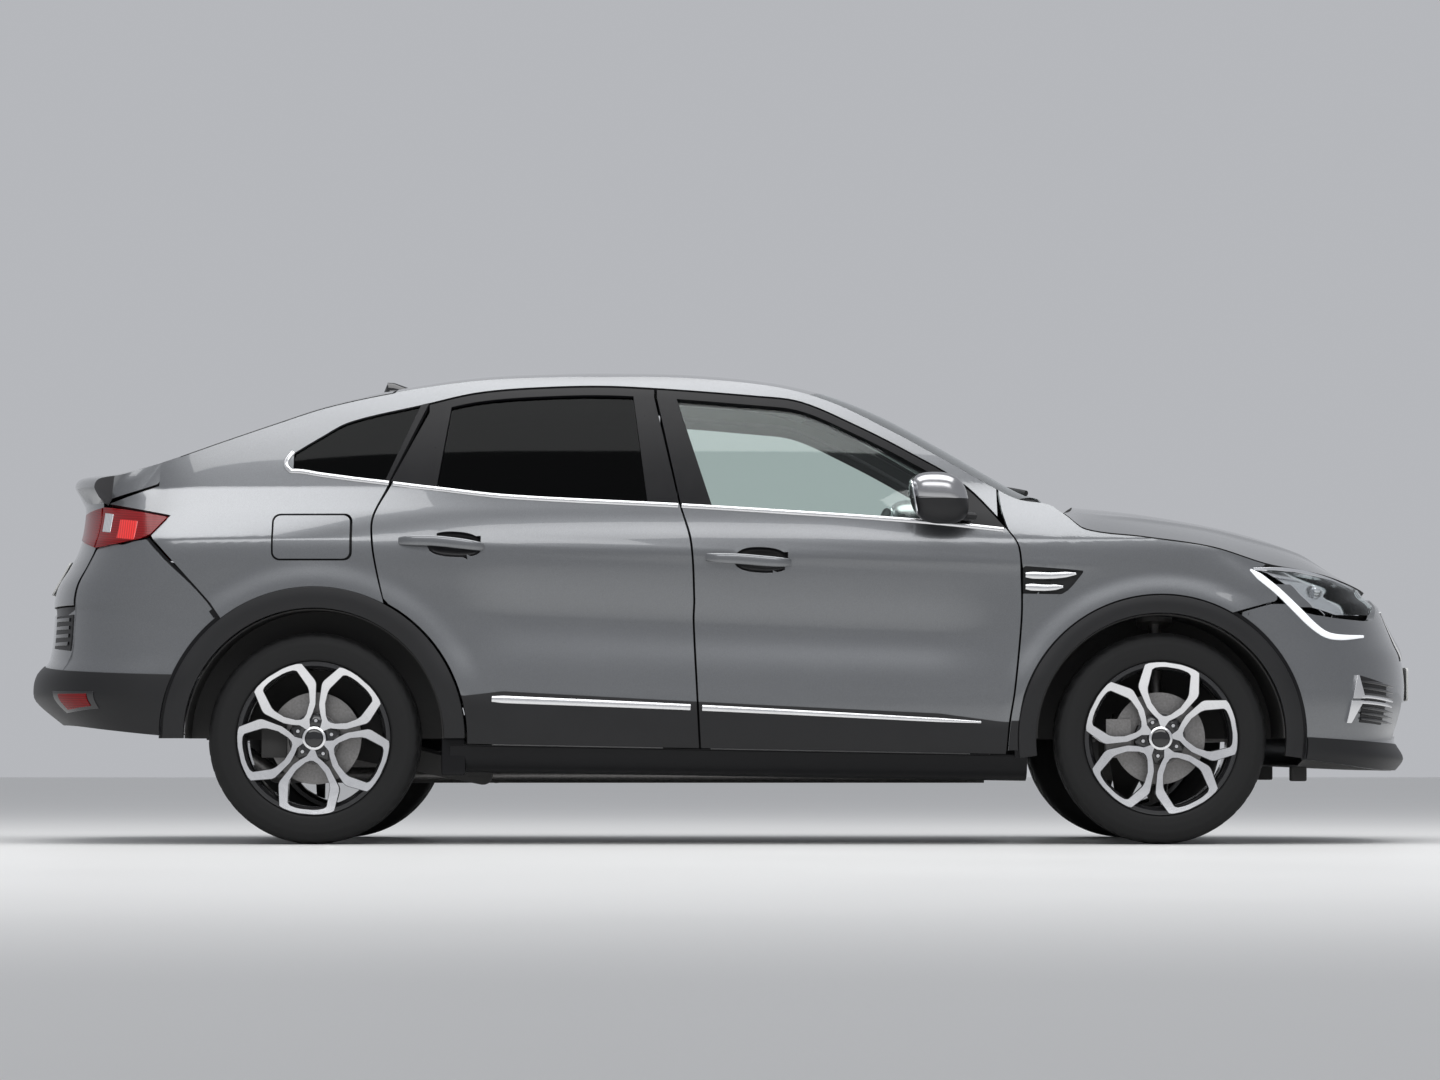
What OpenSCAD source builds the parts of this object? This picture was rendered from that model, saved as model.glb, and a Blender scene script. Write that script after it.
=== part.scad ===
/* [Proportions] */
// Distance between the front and the rear axle
wheelbase = 2720; // [2600:10:2900]
// Width over the body sides
body_w = 1814; // [1760:2:1860]
// Gap between a moving panel and its neighbour
panel_gap = 6; // [5:0.5:9]
// Clearance between pieces that seat on each other
seat_gap = 0.3; // [0.2:0.1:0.5]

/* [Panels] */
// Thickness of a whole door below its window
door_t = 105; // [80:1:120]
// Thickness of a door's window frame
frame_t = 42; // [30:1:50]
// Height of the door frame above the glass
frame_h = 27; // [20:1:35]
// Thickness of the fenders, quarters and bumpers
panel_t = 46; // [30:1:55]
// Thickness of the roof, bonnet and tailgate
lid_t = 32; // [24:1:40]
// Thickness of a hinged panel's thin edge flange
flange_t = 5; // [4:0.5:7]
// Thickness of the glass
glass_t = 5; // [4:0.5:6]
// Depth of the side glass below the outer skin
glass_in = 14; // [10:1:20]

/* [Wheels] */
// Radius of the tyres
tyre_r = 340; // [330:1:345]
// Width of the tyres
tyre_w = 216; // [195:1:225]
// Radius of the rim at its outer lip
rim_r = 246; // [236:1:252]
// Width of the rim
rim_w = 194; // [180:1:200]
// Distance from the middle of the car to a wheel's middle plane
track_half = 783; // [770:1:790]
// Number of petal shaped spokes
spokes = 5; // [5:1:7]
// Radius of the bolt circle
bolt_r = 57.15; // [50:0.05:60]
// Radius of the front brake discs
disc_r = 148; // [130:1:155]

/* [Joints] */
// Radius of a door hinge's barrel
barrel_r = 6; // [5:0.5:7]
// Heights of the two hinges of a door
hinge_z = [480, 860]; // [400:5:900]
// Distance from a door's hinge axis to the fender line
hinge_back = 75; // [60:1:85]
// Depth of a door's hinge axis below the skin's widest line
hinge_in = 34; // [28:1:36]

/* [Hidden] */
$fn = 64;

// Stations are drawn for this wheelbase, with the front axle and the rear axle at these places
drawn_wheelbase = 2720;
front_axle = 1413;
rear_axle_x = front_axle - drawn_wheelbase;
half_w = body_w / 2;
// Zones around the axles move with their axle, and the cabin between them stretches
front_zone = 893;
rear_zone = -787;
stretch = (wheelbase - drawn_wheelbase) / 2;
rear_arch_r = 487;
rear_arch_in = 418;
front_arch_r = 460;
front_arch_in = 402;
arch_step = 10;
arch_clear = 8;
arch_fit = 4;

// Paint and material colours
paint = [0.36, 0.37, 0.39];
black = [0.07, 0.07, 0.075];
steel = [0.45, 0.46, 0.48];
silver = [0.78, 0.79, 0.8];
tint = [0.12, 0.15, 0.15];
red = [0.6, 0.03, 0.03];
clear = [0.85, 0.88, 0.9];
trim = [0.16, 0.16, 0.17];

// Outline of the car along its middle plane, from tail to nose
ridge_line = [
  [-2166, 1196], [-2100, 1216], [-1960, 1232], [-1824, 1262], [-1611, 1342], [-1447, 1402],
  [-1282, 1458], [-1055, 1508], [-789, 1547], [-532, 1560], [-359, 1562], [-101, 1556],
  [176, 1528], [352, 1488], [528, 1420], [704, 1326], [880, 1224], [985, 1163], [1085, 1128],
  [1273, 1104], [1501, 1070], [1728, 1024], [1898, 968], [1990, 915], [2057, 878], [2130, 838]
];
// Line where the roof, the screens and the bonnet meet the body sides
edge_line = [
  [-2166, 1178], [-2100, 1190], [-1960, 1206], [-1824, 1238], [-1611, 1310], [-1447, 1366],
  [-1282, 1420], [-1055, 1470], [-789, 1509], [-532, 1522], [-359, 1524], [-101, 1518],
  [176, 1488], [352, 1438], [528, 1352], [704, 1254], [880, 1152], [960, 1112], [1060, 1094],
  [1110, 1062], [1170, 1014], [1357, 988], [1579, 955], [1760, 901], [1866, 885], [1986, 864],
  [2087, 832], [2130, 818]
];
// How far the body side lies inside its full width at each height
section_in = [
  [195, 84], [240, 46], [300, 22], [400, 12], [520, 9], [650, 13], [800, 9], [920, 3], [965, 5],
  [1010, 14], [1060, 32], [1100, 52], [1160, 82], [1250, 128], [1350, 184], [1440, 240],
  [1490, 280], [1525, 322], [1570, 390]
];
// How much further in the cabin's sides lie towards the screens
cabin_in = [
  [-1830, 130], [-1450, 66], [-1100, 24], [-700, 0], [300, 0], [600, 18], [900, 56], [1110, 80]
];
cabin_low = 980;
cabin_rise = 170;
// Depth of the waist in plan, between the axles
waist_in = 10;
waist_half = 1350;
// Foremost point of the nose and rearmost point of the tail at each height
nose_line = [
  [195, 2222], [238, 2249], [275, 2270], [330, 2247], [400, 2265], [452, 2278], [531, 2281],
  [611, 2268], [669, 2240], [730, 2214], [770, 2198], [801, 2164], [833, 2134], [873, 2057],
  [924, 1954], [963, 1898], [1015, 1728], [1060, 1501]
];
tail_line = [
  [195, -2070], [330, -2120], [390, -2190], [462, -2272], [505, -2282], [553, -2271],
  [599, -2236], [747, -2219], [789, -2221], [842, -2207], [901, -2170], [957, -2140],
  [1020, -2124], [1108, -2124], [1150, -2146], [1209, -2147], [1300, -2120]
];
nose_start = 1250;
nose_power = 5;
nose_round = 0.4;
tail_start = -1250;
tail_power = 6;
tail_round = 0.42;

// Bottom edge and top edge of the side windows
belt_line = [
  [-1404, 1222], [-1376, 1209], [-1068, 1169], [-917, 1150], [-686, 1124], [-138, 1095],
  [125, 1079], [651, 1043], [920, 1015]
];
window_top = [
  [-1404, 1250], [-1300, 1315], [-1208, 1366], [-970, 1424], [-782, 1467], [-527, 1486],
  [-313, 1486], [128, 1453], [262, 1434], [440, 1355], [610, 1266], [793, 1154], [920, 1018]
];
// Shut lines of the doors, as station for each height
fender_split = [[287, 917], [393, 927], [495, 943], [720, 965], [848, 965], [959, 956], [1015, 919]];
middle_split = [
  [303, -67], [495, -77], [720, -88], [790, -86], [974, -97], [1096, -132], [1389, -194], [1490, -216]
];
quarter_split = [[778, -1084], [880, -1107], [970, -1121], [1054, -1119], [1156, -1068], [1400, -945]];
door_bottom = [[-830, 320], [920, 287]];
sill_bottom = 205;

// Curve through the points of a list, by cubic segments
function piece(p, x, i = 0) = i >= len(p) - 2 || x < p[i + 1][0] ? i : piece(p, x, i + 1);
function slope(p, i) =
  let (a = max(i - 1, 0), b = min(i + 1, len(p) - 1))
  (p[b][1] - p[a][1]) / (p[b][0] - p[a][0]);
function curve(p, x) =
  let (
    i = piece(p, x),
    h = p[i + 1][0] - p[i][0],
    t = min(1, max(0, (x - p[i][0]) / h)),
    rise = p[i + 1][1] - p[i][1],
    m0 = slope(p, i) * h,
    m1 = slope(p, i + 1) * h
  )
  p[i][1] + t * (m0 + t * (3 * rise - 2 * m0 - m1 + t * (m0 + m1 - 2 * rise)));
function mix(a, b, t) = a + (b - a) * t;
function unit(t) = min(1, max(0, t));
function flat(grid) = [for (row = grid) each row];

// Body surface: half width at a station and height, and a point at a depth below it
function station(x) =
  x >= front_zone ? x + stretch :
  x <= rear_zone ? x - stretch :
  x + mix(-stretch, stretch, (x - rear_zone) / (front_zone - rear_zone));
function cap(t, power, round) = pow(max(0, 1 - pow(unit(t), power)), round);
function side(x, z) =
  half_w - curve(section_in, z)
  - curve(cabin_in, x) * unit((z - cabin_low) / cabin_rise)
  - waist_in * max(0, 1 - pow(x / waist_half, 2));
function nose_t(x, z) = (x - nose_start) / (curve(nose_line, z) - nose_start);
function tail_t(x, z) = (x - tail_start) / (curve(tail_line, z) - tail_start);
function width_at(x, z) =
  side(x, z) * cap(nose_t(x, z), nose_power, nose_round) * cap(tail_t(x, z), tail_power, tail_round);
probe = 4;
function skin_normal(x, z) =
  let (
    inward = x > 0 ? -probe : probe,
    by_x = (width_at(x + inward, z) - width_at(x, z)) / inward,
    by_z = (width_at(x, z + probe) - width_at(x, z - probe)) / (2 * probe),
    n = [-by_x, 1, -by_z]
  )
  n / norm(n);
function skin(p, depth) =
  let (q = [p[0], width_at(p[0], p[1]), p[1]] - depth * skin_normal(p[0], p[1]))
  [station(q[0]), q[1], q[2]];
function edge_half(x) = width_at(x, curve(edge_line, x));

// Upper surface: point at a station and a share of the half width, at a depth below it
crown_power = 2.3;
function upper(x, v, depth) =
  let (
    low = curve(edge_line, x),
    rise = curve(ridge_line, x) - low,
    fall = (curve(ridge_line, x + probe) - curve(ridge_line, x - probe)) / (2 * probe),
    lean = rise * crown_power * pow(abs(v), crown_power - 1) * sign(v) / edge_half(x),
    n = [-fall, lean, 1]
  )
  [station(x), v * edge_half(x), low + rise * (1 - pow(abs(v), crown_power))] - depth * n / norm(n);

// Rounded ends: point at an angle round the nose or the tail, at a height and a depth
function nose_at(a, z, depth) =
  let (
    x = mix(nose_start, curve(nose_line, z), pow(abs(cos(a)), 2 / nose_power)),
    y = side(x, z) * pow(abs(sin(a)), 2 * nose_round) * sign(a)
  )
  [station(x) - depth * pow(cos(a), 0.6), y - depth * sin(a), z];
function tail_at(a, z, depth) =
  let (
    x = mix(tail_start, curve(tail_line, z), pow(abs(cos(a)), 2 / tail_power)),
    y = side(x, z) * pow(abs(sin(a)), 2 * tail_round) * sign(a)
  )
  [station(x) + depth * pow(cos(a), 0.6), y - depth * sin(a), z];
function nose_angle(x, z) = acos(pow(unit(nose_t(x, z)), nose_power / 2));
function tail_angle(x, z) = acos(pow(unit(tail_t(x, z)), tail_power / 2));

// Closed sheet between an outer and an inner grid of points, without the cells that are left open
module sheet(outer, inner, keep = function (row, col) true) {
  rows = len(outer);
  cols = len(outer[0]);
  count = rows * cols;
  function at(r, c) = r * cols + c;
  function kept(r, c) = r >= 0 && c >= 0 && r < rows - 1 && c < cols - 1 && keep(r, c);
  function wall(a, b) = [[a, b, b + count], [a, b + count, a + count]];
  cells = [for (r = [0 : rows - 2], c = [0 : cols - 2]) if (keep(r, c)) [r, c]];
  faces = [
    for (q = cells)
      let (r = q[0], c = q[1], bl = at(r, c), br = at(r, c + 1), tl = at(r + 1, c), tr = at(r + 1, c + 1))
      each concat(
        [[bl, tl, tr], [bl, tr, br]],
        [[bl + count, tr + count, tl + count], [bl + count, br + count, tr + count]],
        kept(r - 1, c) ? [] : wall(bl, br),
        kept(r + 1, c) ? [] : wall(tr, tl),
        kept(r, c - 1) ? [] : wall(tl, bl),
        kept(r, c + 1) ? [] : wall(br, tr)
      )
  ];
  polyhedron(points = concat(flat(outer), flat(inner)), faces = faces);
}
// The same sheet on the body's left surface from a grid of stations and heights
module skin_sheet(grid, depth, start = 0, keep = function (row, col) true, inset = [0, 0, 0, 0]) {
  rows = len(grid);
  cols = len(grid[0]);
  outer = [for (row = grid) [for (p = row) skin(p, start)]];
  inner = [
    for (r = [0 : rows - 1])
      [
        for (c = [0 : cols - 1])
          skin(
            grid[r][c] + [
              c == 0 ? -inset[0] : c == cols - 1 ? inset[1] : 0,
              r == 0 ? inset[2] : r == rows - 1 ? -inset[3] : 0
            ],
            start + (is_function(depth) ? depth(r, c) : depth)
          )
      ]
  ];
  sheet(outer, inner, keep);
}
module both_sides() {
  children();
  mirror([0, 1, 0]) children();
}
// Patch of stations and heights between four boundary lists, with as many points on opposite ones
function patch(bottom, top, front, rear) =
  let (n = len(bottom) - 1, m = len(front) - 1)
  [
    for (j = [0 : m])
      [
        for (i = [0 : n])
          let (u = i / n, v = j / m)
          (1 - v) * bottom[i] + v * top[i] + (1 - u) * front[j] + u * rear[j]
          - (1 - u) * (1 - v) * bottom[0] - u * (1 - v) * bottom[n]
          - (1 - u) * v * top[0] - u * v * top[n]
      ]
  ];
function arc(x, r, from, to, n) =
  [for (i = [0 : n]) let (a = mix(from, to, i / n)) [x + r * cos(a), tyre_r + r * sin(a)]];

// Doors: grids of stations and heights, with rows from the bottom to the belt and round the window
half_gap = panel_gap / 2;
glass_gap = 3 * seat_gap;
corner_drop = 4;
door_rows = 8;
belt_row = door_rows;
window_first = 3;
window_last = 8;
front_cols = [916, 862, 859, 770, 600, 420, 240, 60, -29, -129];
rear_cols = [-135, -193, -196, -237, -400, -560, -720, -830, -917, -1059];
last_col = len(front_cols) - 1;
front_lean = [-11, 0, 0, 0, -24, -50, -76, -102, -115, 0];
rear_lean = [0, -42, -43, -48, -27, -6, 15, 30, 41, 0];
rear_pull = 1.2;
function fender_x(z) = curve(fender_split, z) - half_gap;
function middle_x(z, way) = curve(middle_split, z) + way * half_gap;
function rear_arch_x(z, r) = rear_axle_x + sqrt(max(0, r * r - pow(z - tyre_r, 2)));
function quarter_x(z) =
  z < quarter_split[0][0] ? rear_arch_x(z, rear_arch_r + panel_gap) : curve(quarter_split, z) + half_gap;
function front_low(v) = [
  for (i = [0 : last_col])
    let (
      x = front_cols[i],
      z = mix(curve(door_bottom, x) + half_gap, curve(belt_line, x), v)
    )
    [i == 0 ? fender_x(z) : i == last_col ? middle_x(z, 1) : x, z]
];
function rear_low(v) = [
  for (i = [0 : last_col])
    let (
      x = rear_cols[i],
      z = mix(curve(door_bottom, x) + half_gap, curve(belt_line, x), v),
      share = pow(max(0, (rear_cols[2] - x) / (rear_cols[2] - rear_cols[last_col])), rear_pull)
    )
    [i == 0 ? middle_x(z, -1) : x + (quarter_x(z) - rear_cols[last_col]) * share, z]
];
function front_top(drop) = [
  for (i = [0 : last_col])
    let (
      x = front_cols[i] + front_lean[i],
      z = curve(window_top, x) - half_gap - drop - (i < window_first ? corner_drop : 0)
    )
    i == last_col ? [middle_x(1470 - drop, 1), curve(window_top, middle_x(1470, 1)) - half_gap - drop] : [x, z]
];
function rear_top(drop) = [
  for (i = [0 : last_col])
    let (x = rear_cols[i] + rear_lean[i], z = curve(window_top, x) - half_gap - drop)
    i == 0 ? [middle_x(1470 - drop, -1), curve(window_top, middle_x(1470, -1)) - half_gap - drop] :
    i == last_col ? [quarter_x(1400 - drop), curve(window_top, quarter_x(1400)) - half_gap - drop] : [x, z]
];
function halfway(a, b) = [for (i = [0 : len(a) - 1]) (a[i] + b[i]) / 2];
function door_grid(low, top, open) = concat(low, [halfway(low[belt_row], open), open, top]);
front_lows = [for (j = [0 : door_rows]) front_low(j / door_rows)];
front_tops = front_top(0);
front_middle = halfway(front_lows[belt_row], front_tops);
front_opens = [
  for (i = [0 : last_col]) i < window_first ? front_middle[i] : front_top(frame_h)[i]
];
front_grid = door_grid(front_lows, front_tops, front_opens);
rear_lows = [for (j = [0 : door_rows]) rear_low(j / door_rows)];
rear_grid = door_grid(rear_lows, rear_top(0), rear_top(frame_h));
door_inset = [2, 20, 14, 5];
function door_depth(r, c) =
  r > belt_row ? frame_t :
  c < 2 ? flange_t : door_t;
function window_cell(r, c) =
  r >= belt_row && r < belt_row + 2 && c >= window_first && c < window_last;
function door_keep(r, c) = !window_cell(r, c);
function window_grid(grid) = [
  for (r = [belt_row : belt_row + 2])
    [
      for (c = [window_first : window_last])
        grid[r][c] + [
          c == window_first ? -glass_gap : c == window_last ? glass_gap : 0,
          r == belt_row ? glass_gap : r == belt_row + 2 ? -glass_gap : 0
        ]
    ]
];

// Door hinges: the axis stands behind the shut line, just below the skin
hinge_y = half_w - hinge_in;
front_hinge_x = 965 - hinge_back;
rear_hinge_x = -90 - hinge_back;
barrel_h = 36;
leaf_t = 8;
leaf_h = 30;
pillar_in = 86;
pillar_y = hinge_y - pillar_in;
module door_leaf(x, step) {
  for (z = hinge_z)
    translate([station(x), hinge_y, z]) {
      cylinder(h = barrel_h, r = barrel_r, center = true);
      translate([(step - x) / 2 - 2, -leaf_t / 2, 0])
        cube([x - step + 4, leaf_t, leaf_h], center = true);
    }
}
module pillar_leaf(x) {
  for (z = hinge_z, way = [-1, 1])
    translate([station(x), hinge_y, z + way * (barrel_h + barrel_h / 2 + 2 * seat_gap) / 2]) {
      cylinder(h = barrel_h / 2, r = barrel_r, center = true);
      translate([0, -pillar_in / 2 - 1, 0]) cube([leaf_t, pillar_in + 2, barrel_h / 2], center = true);
    }
}
module front_door() {
  skin_sheet(front_grid, function (r, c) door_depth(r, c), 0, function (r, c) door_keep(r, c), door_inset);
  door_leaf(front_hinge_x, front_cols[2]);
}
module rear_door() {
  skin_sheet(rear_grid, function (r, c) door_depth(r, c), 0, function (r, c) door_keep(r, c), door_inset);
  door_leaf(rear_hinge_x, rear_cols[2]);
}
module front_left_door() color(paint) front_door();
module front_right_door() color(paint) mirror([0, 1, 0]) front_door();
module rear_left_door() color(paint) rear_door();
module rear_right_door() color(paint) mirror([0, 1, 0]) rear_door();
module front_glass() skin_sheet(window_grid(front_grid), glass_t, glass_in);
module rear_glass() skin_sheet(window_grid(rear_grid), glass_t, glass_in);
module front_left_glass() color(clear) front_glass();
module front_right_glass() color(clear) mirror([0, 1, 0]) front_glass();
module rear_left_glass() color(tint) rear_glass();
module rear_right_glass() color(tint) mirror([0, 1, 0]) rear_glass();

// Body sides: the quarter panel round its window, with the roof rail and screen pillar ahead of it
rail_x = [890, 760, 610, 450, 290, 130, -100, -310, -530, -790];
quarter_rows = 6;
quarter_turn = [62.7, 127.7];
quarter_belt = [
  for (x = [-1071, -1085, -1190, -1290, -1385]) [x, curve(belt_line, x)],
  [-1550, 1190], [-1720, 1150], [-1992, 1104]
];
quarter_cols = len(quarter_belt) - 1;
quarter_rear = [
  arc(rear_axle_x, rear_arch_r, quarter_turn[1], quarter_turn[1], 1)[0],
  [-1640, 776], [-1690, 832], [-1765, 914], [-1835, 991], [-1775, 1060], [-1992, 1104]
];
quarter_front = [
  arc(rear_axle_x, rear_arch_r, quarter_turn[0], quarter_turn[0], 1)[0],
  for (z = [830, 880, 925, 970, 1054]) [quarter_x(z) - panel_gap, z],
  quarter_belt[0]
];
quarter_low = patch(
  arc(rear_axle_x, rear_arch_r, quarter_turn[0], quarter_turn[1], quarter_cols),
  quarter_belt, quarter_front, quarter_rear
);
quarter_top = [
  for (x = [-948, -975, -1110, -1250, -1385]) [x, curve(window_top, x) + half_gap],
  [-1550, 1238], [-1700, 1200], [-1826, 1160]
];
tailgate_x = -1066;
lid_gap = 10;
function edge_fit(x) = curve(edge_line, x) - (x < tailgate_x ? half_gap : seat_gap);
quarter_roof = [for (x = [-930, -960, -1100, -1250, -1400, -1570, -1710, -1822]) [x, edge_fit(x)]];
rail_top = [for (x = rail_x) [x, curve(window_top, x) + half_gap]];
rail_roof = [for (x = rail_x) [x, edge_fit(x)]];
side_grid = concat(
  [for (row = quarter_low) concat(rail_top, row)],
  [
    concat(rail_top, halfway(quarter_belt, quarter_top)),
    concat(rail_top, quarter_top),
    concat(rail_roof, quarter_roof)
  ]
);
quarter_col = len(rail_x);
rail_row = quarter_rows + 2;
quarter_window = [quarter_col + 1, quarter_col + 4];
function side_keep(r, c) =
  c < quarter_col ? r == rail_row :
  !(r >= quarter_rows && r < rail_row && c >= quarter_window[0] && c < quarter_window[1]);
roof_edge_t = 8;
function side_depth(r, c) = r > rail_row ? roof_edge_t : c < quarter_col ? frame_t : panel_t;
module body_side() {
  skin_sheet(side_grid, function (r, c) side_depth(r, c), 0, function (r, c) side_keep(r, c));
}
// Fuel flap in the right quarter panel, hinged at its front edge
flap_x = [-1438, -1193];
flap_z = [916, 1057];
flap_t = 6;
pocket_t = 30;
module flap_block(grow, depth, start) {
  xs = [flap_x[1] + grow, (flap_x[0] + flap_x[1]) / 2, flap_x[0] - grow];
  zs = [flap_z[0] - grow, (flap_z[0] + flap_z[1]) / 2, flap_z[1] + grow];
  skin_sheet([for (z = zs) [for (x = xs) [x, z]]], depth, start);
}
flap_pin_r = 2.5;
flap_pin_in = 9.5;
flap_pin_h = 44;
// Rod on the flap's upright hinge line, between two heights above its lower edge
module flap_rod(from, to) {
  translate([station(flap_x[1]), half_w - flap_pin_in, flap_z[0] + from]) cylinder(h = to - from, r = flap_pin_r);
}
module body_sides() color(paint) {
  body_side();
  mirror([0, 1, 0]) {
    difference() {
      body_side();
      flap_block(panel_gap, pocket_t + 10, -10);
    }
    flap_rod(-panel_gap - 4, -seat_gap);
  }
}
module fuel_flap() color(paint) mirror([0, 1, 0]) {
  flap_block(0, flap_t, 0);
  flap_rod(0, flap_pin_h);
}
module quarter_glasses() color(tint) both_sides() skin_sheet(
  [
    for (r = [quarter_rows : rail_row])
      [
        for (c = [quarter_window[0] : quarter_window[1]])
          side_grid[r][c] + [
            c == quarter_window[0] ? -seat_gap : c == quarter_window[1] ? seat_gap : 0,
            r == quarter_rows ? seat_gap : r == rail_row ? -seat_gap : 0
          ]
      ]
  ],
  glass_t, glass_in
);

// Front fenders between the door, the bonnet, the lamp and the arch
fender_t = 18;
fender_thin = 5;
fender_turn = [180, 60.4];
fender_low = [
  [fender_x(300) + panel_gap, 300],
  for (p = arc(front_axle, front_arch_r + arch_fit, fender_turn[0], fender_turn[1], 7)) p
];
fender_top_x = [897, 960, 1030, 1100, 1160, 1300, 1440, 1590, 1752];
fender_top = [
  for (x = fender_top_x) [x, curve(edge_line, x) - (x < 1085 ? seat_gap : half_gap)]
];
fender_rear = [
  fender_low[0],
  for (z = [480, 660, 800, 920]) [fender_x(z) + panel_gap, z],
  [fender_x(1012) + panel_gap, 1015], [905, 1075], fender_top[0]
];
fender_front = [
  fender_low[8], [1672, 752], [1730, 768], [1786, 783], [1790, 806], [1772, 830], [1706, 882],
  fender_top[8]
];
fender_patch = patch(fender_low, fender_top, fender_rear, fender_front);
module front_fenders() color(paint) both_sides() skin_sheet(
  [for (row = fender_patch) [for (i = [len(row) - 1 : -1 : 0]) row[i]]],
  function (r, c) c < fender_thin ? panel_t : fender_t
);

// Black bands round the wheel arches and the liners inside them
band_out = 9;
band_t = 36;
liner_t = 4;
liner_in = [462, 640.3];
function fit_r(r) = r * cos(arch_step / 2) - seat_gap;
function band_grid(x, inner, outer, from, to) =
  let (n = ceil(abs(to - from) / arch_step))
  [
    for (r = [inner, (inner + outer) / 2, fit_r(outer)])
      arc(x, r, from, to, n)
  ];
module arch_band(grid) sheet(
  [for (row = grid) [for (p = row) [station(p[0]), width_at(p[0], p[1]) + band_out, p[1]]]],
  [for (row = grid) [for (p = row) [station(p[0]), width_at(p[0], p[1]) + band_out - band_t, p[1]]]]
);
module arch_bands() color(black) both_sides() {
  arch_band(band_grid(rear_axle_x, rear_arch_in, rear_arch_r, 0, 180));
  arch_band(band_grid(front_axle, front_arch_in, front_arch_r, -8, 188));
}
hub_hole = 150;
strut_hole = 80;
module half_ring(x, y, ring) {
  translate([station(x), y, tyre_r]) rotate([-90, 0, 0]) rotate([0, 0, 180]) rotate_extrude(angle = 180)
    polygon(ring);
}
module liner(x, r, y) {
  out = fit_r(r);
  reach = half_w - panel_t - y;
  half_ring(x, y, [
    [hub_hole, 0], [out, 0], [out, reach], [out - liner_t, reach], [out - liner_t, liner_t], [hub_hole, liner_t]
  ]);
}
module wheel_liners() color(black) both_sides() {
  difference() {
    liner(front_axle, front_arch_in, liner_in[0]);
    on_wheel(front_axle) strut_part(0.4, 1, strut_hole);
  }
  liner(rear_axle_x, rear_arch_in, liner_in[1]);
}

// Sills, floor and the pillars that carry the doors
sill_in = 700;
floor_z = 250;
floor_t = 26;
sill_x = [914, 700, 450, 200, -50, -300, -550, -816];
module sills() color(black) both_sides() {
  heights = [0, 0.45, 1];
  grid = [
    for (v = heights)
      [for (x = sill_x) [x, mix(sill_bottom, curve(door_bottom, x) - half_gap, v)]]
  ];
  sheet(
    [for (row = grid) [for (p = row) skin(p, 0)]],
    [for (row = grid) [for (p = row) [station(p[0]), sill_in, p[1]]]]
  );
}
tub_in = 640;
tub_front = -720;
load_z = 560;
tub_line = [
  [tub_front, floor_z + 2], [-760, floor_z + 2], [-900, 400], [-1042, 400], [-1090, load_z], [-2060, load_z],
  [-2060, load_z + floor_t], [-1070, load_z + floor_t], [-1022, 426], [-885, 426],
  [-750, floor_z + floor_t - 2], [tub_front, floor_z + floor_t - 2]
];
firewall_x = 930;
rail_y = [370, 440];
rail_z = 420;
rail_len = 1200;
rail_h = 100;
apron_t = 40;
apron_len = 775;
wall_t = 30;
wall_h = 740;
apron_y = [540, 640];
apron_z = 880;
module tub_profile(points, half) {
  translate([0, half, 0]) rotate([90, 0, 0]) linear_extrude(2 * half)
    polygon([for (p = points) [station(p[0]), p[1]]]);
}
module floor_pan() color(trim) {
  tub_profile(tub_line, tub_in);
  translate([station(rear_zone) + 30, -sill_in + seat_gap, floor_z])
    cube([station(firewall_x) - station(rear_zone) - 30 - wall_t / 2, 2 * (sill_in - seat_gap), floor_t]);
  translate([station(firewall_x) - wall_t, -tub_in, floor_z + 1]) cube([wall_t, 2 * tub_in, wall_h]);
  both_sides() {
    translate([station(firewall_x) - wall_t / 2, rail_y[0], rail_z])
      cube([rail_len, rail_y[1] - rail_y[0], rail_h]);
    translate([station(firewall_x) - wall_t / 2, apron_y[0], apron_z])
      cube([apron_len, apron_y[1] - apron_y[0], apron_t]);
  }
  lid_posts(bonnet_axis, bonnet_hinge_y, apron_z + apron_t / 2);
}
pillar_w = 100;
pillar_base = 330;
pillar_step = 880;
pillar_upper = [
  [tub_in + 5, pillar_step - 20], [pillar_y, pillar_step - 20], [pillar_y, 1000], [775, 1060], [592, 1440],
  [565, 1440], [700, 1060], [tub_in + 5, 1000]
];
module pillar_slab(x, width, outline) {
  translate([station(x) - width, 0, 0]) rotate([90, 0, 90]) linear_extrude(width) polygon(outline);
}
module pillar_block(x, width, top) {
  base = floor_z + floor_t + seat_gap;
  foot = sill_in - seat_gap;
  pillar_slab(x, width, [
    [tub_in + 5, base], [foot, base], [foot, pillar_base], [pillar_y, pillar_base], [pillar_y, top], [tub_in + 5, top]
  ]);
}
module pillars() color(trim) both_sides() {
  pillar_block(978, pillar_w + 5, 1000);
  pillar_leaf(front_hinge_x);
  pillar_block(-88, pillar_w, pillar_step);
  pillar_slab(-142, pillar_w / 2, pillar_upper);
  pillar_leaf(rear_hinge_x);
}

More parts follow.
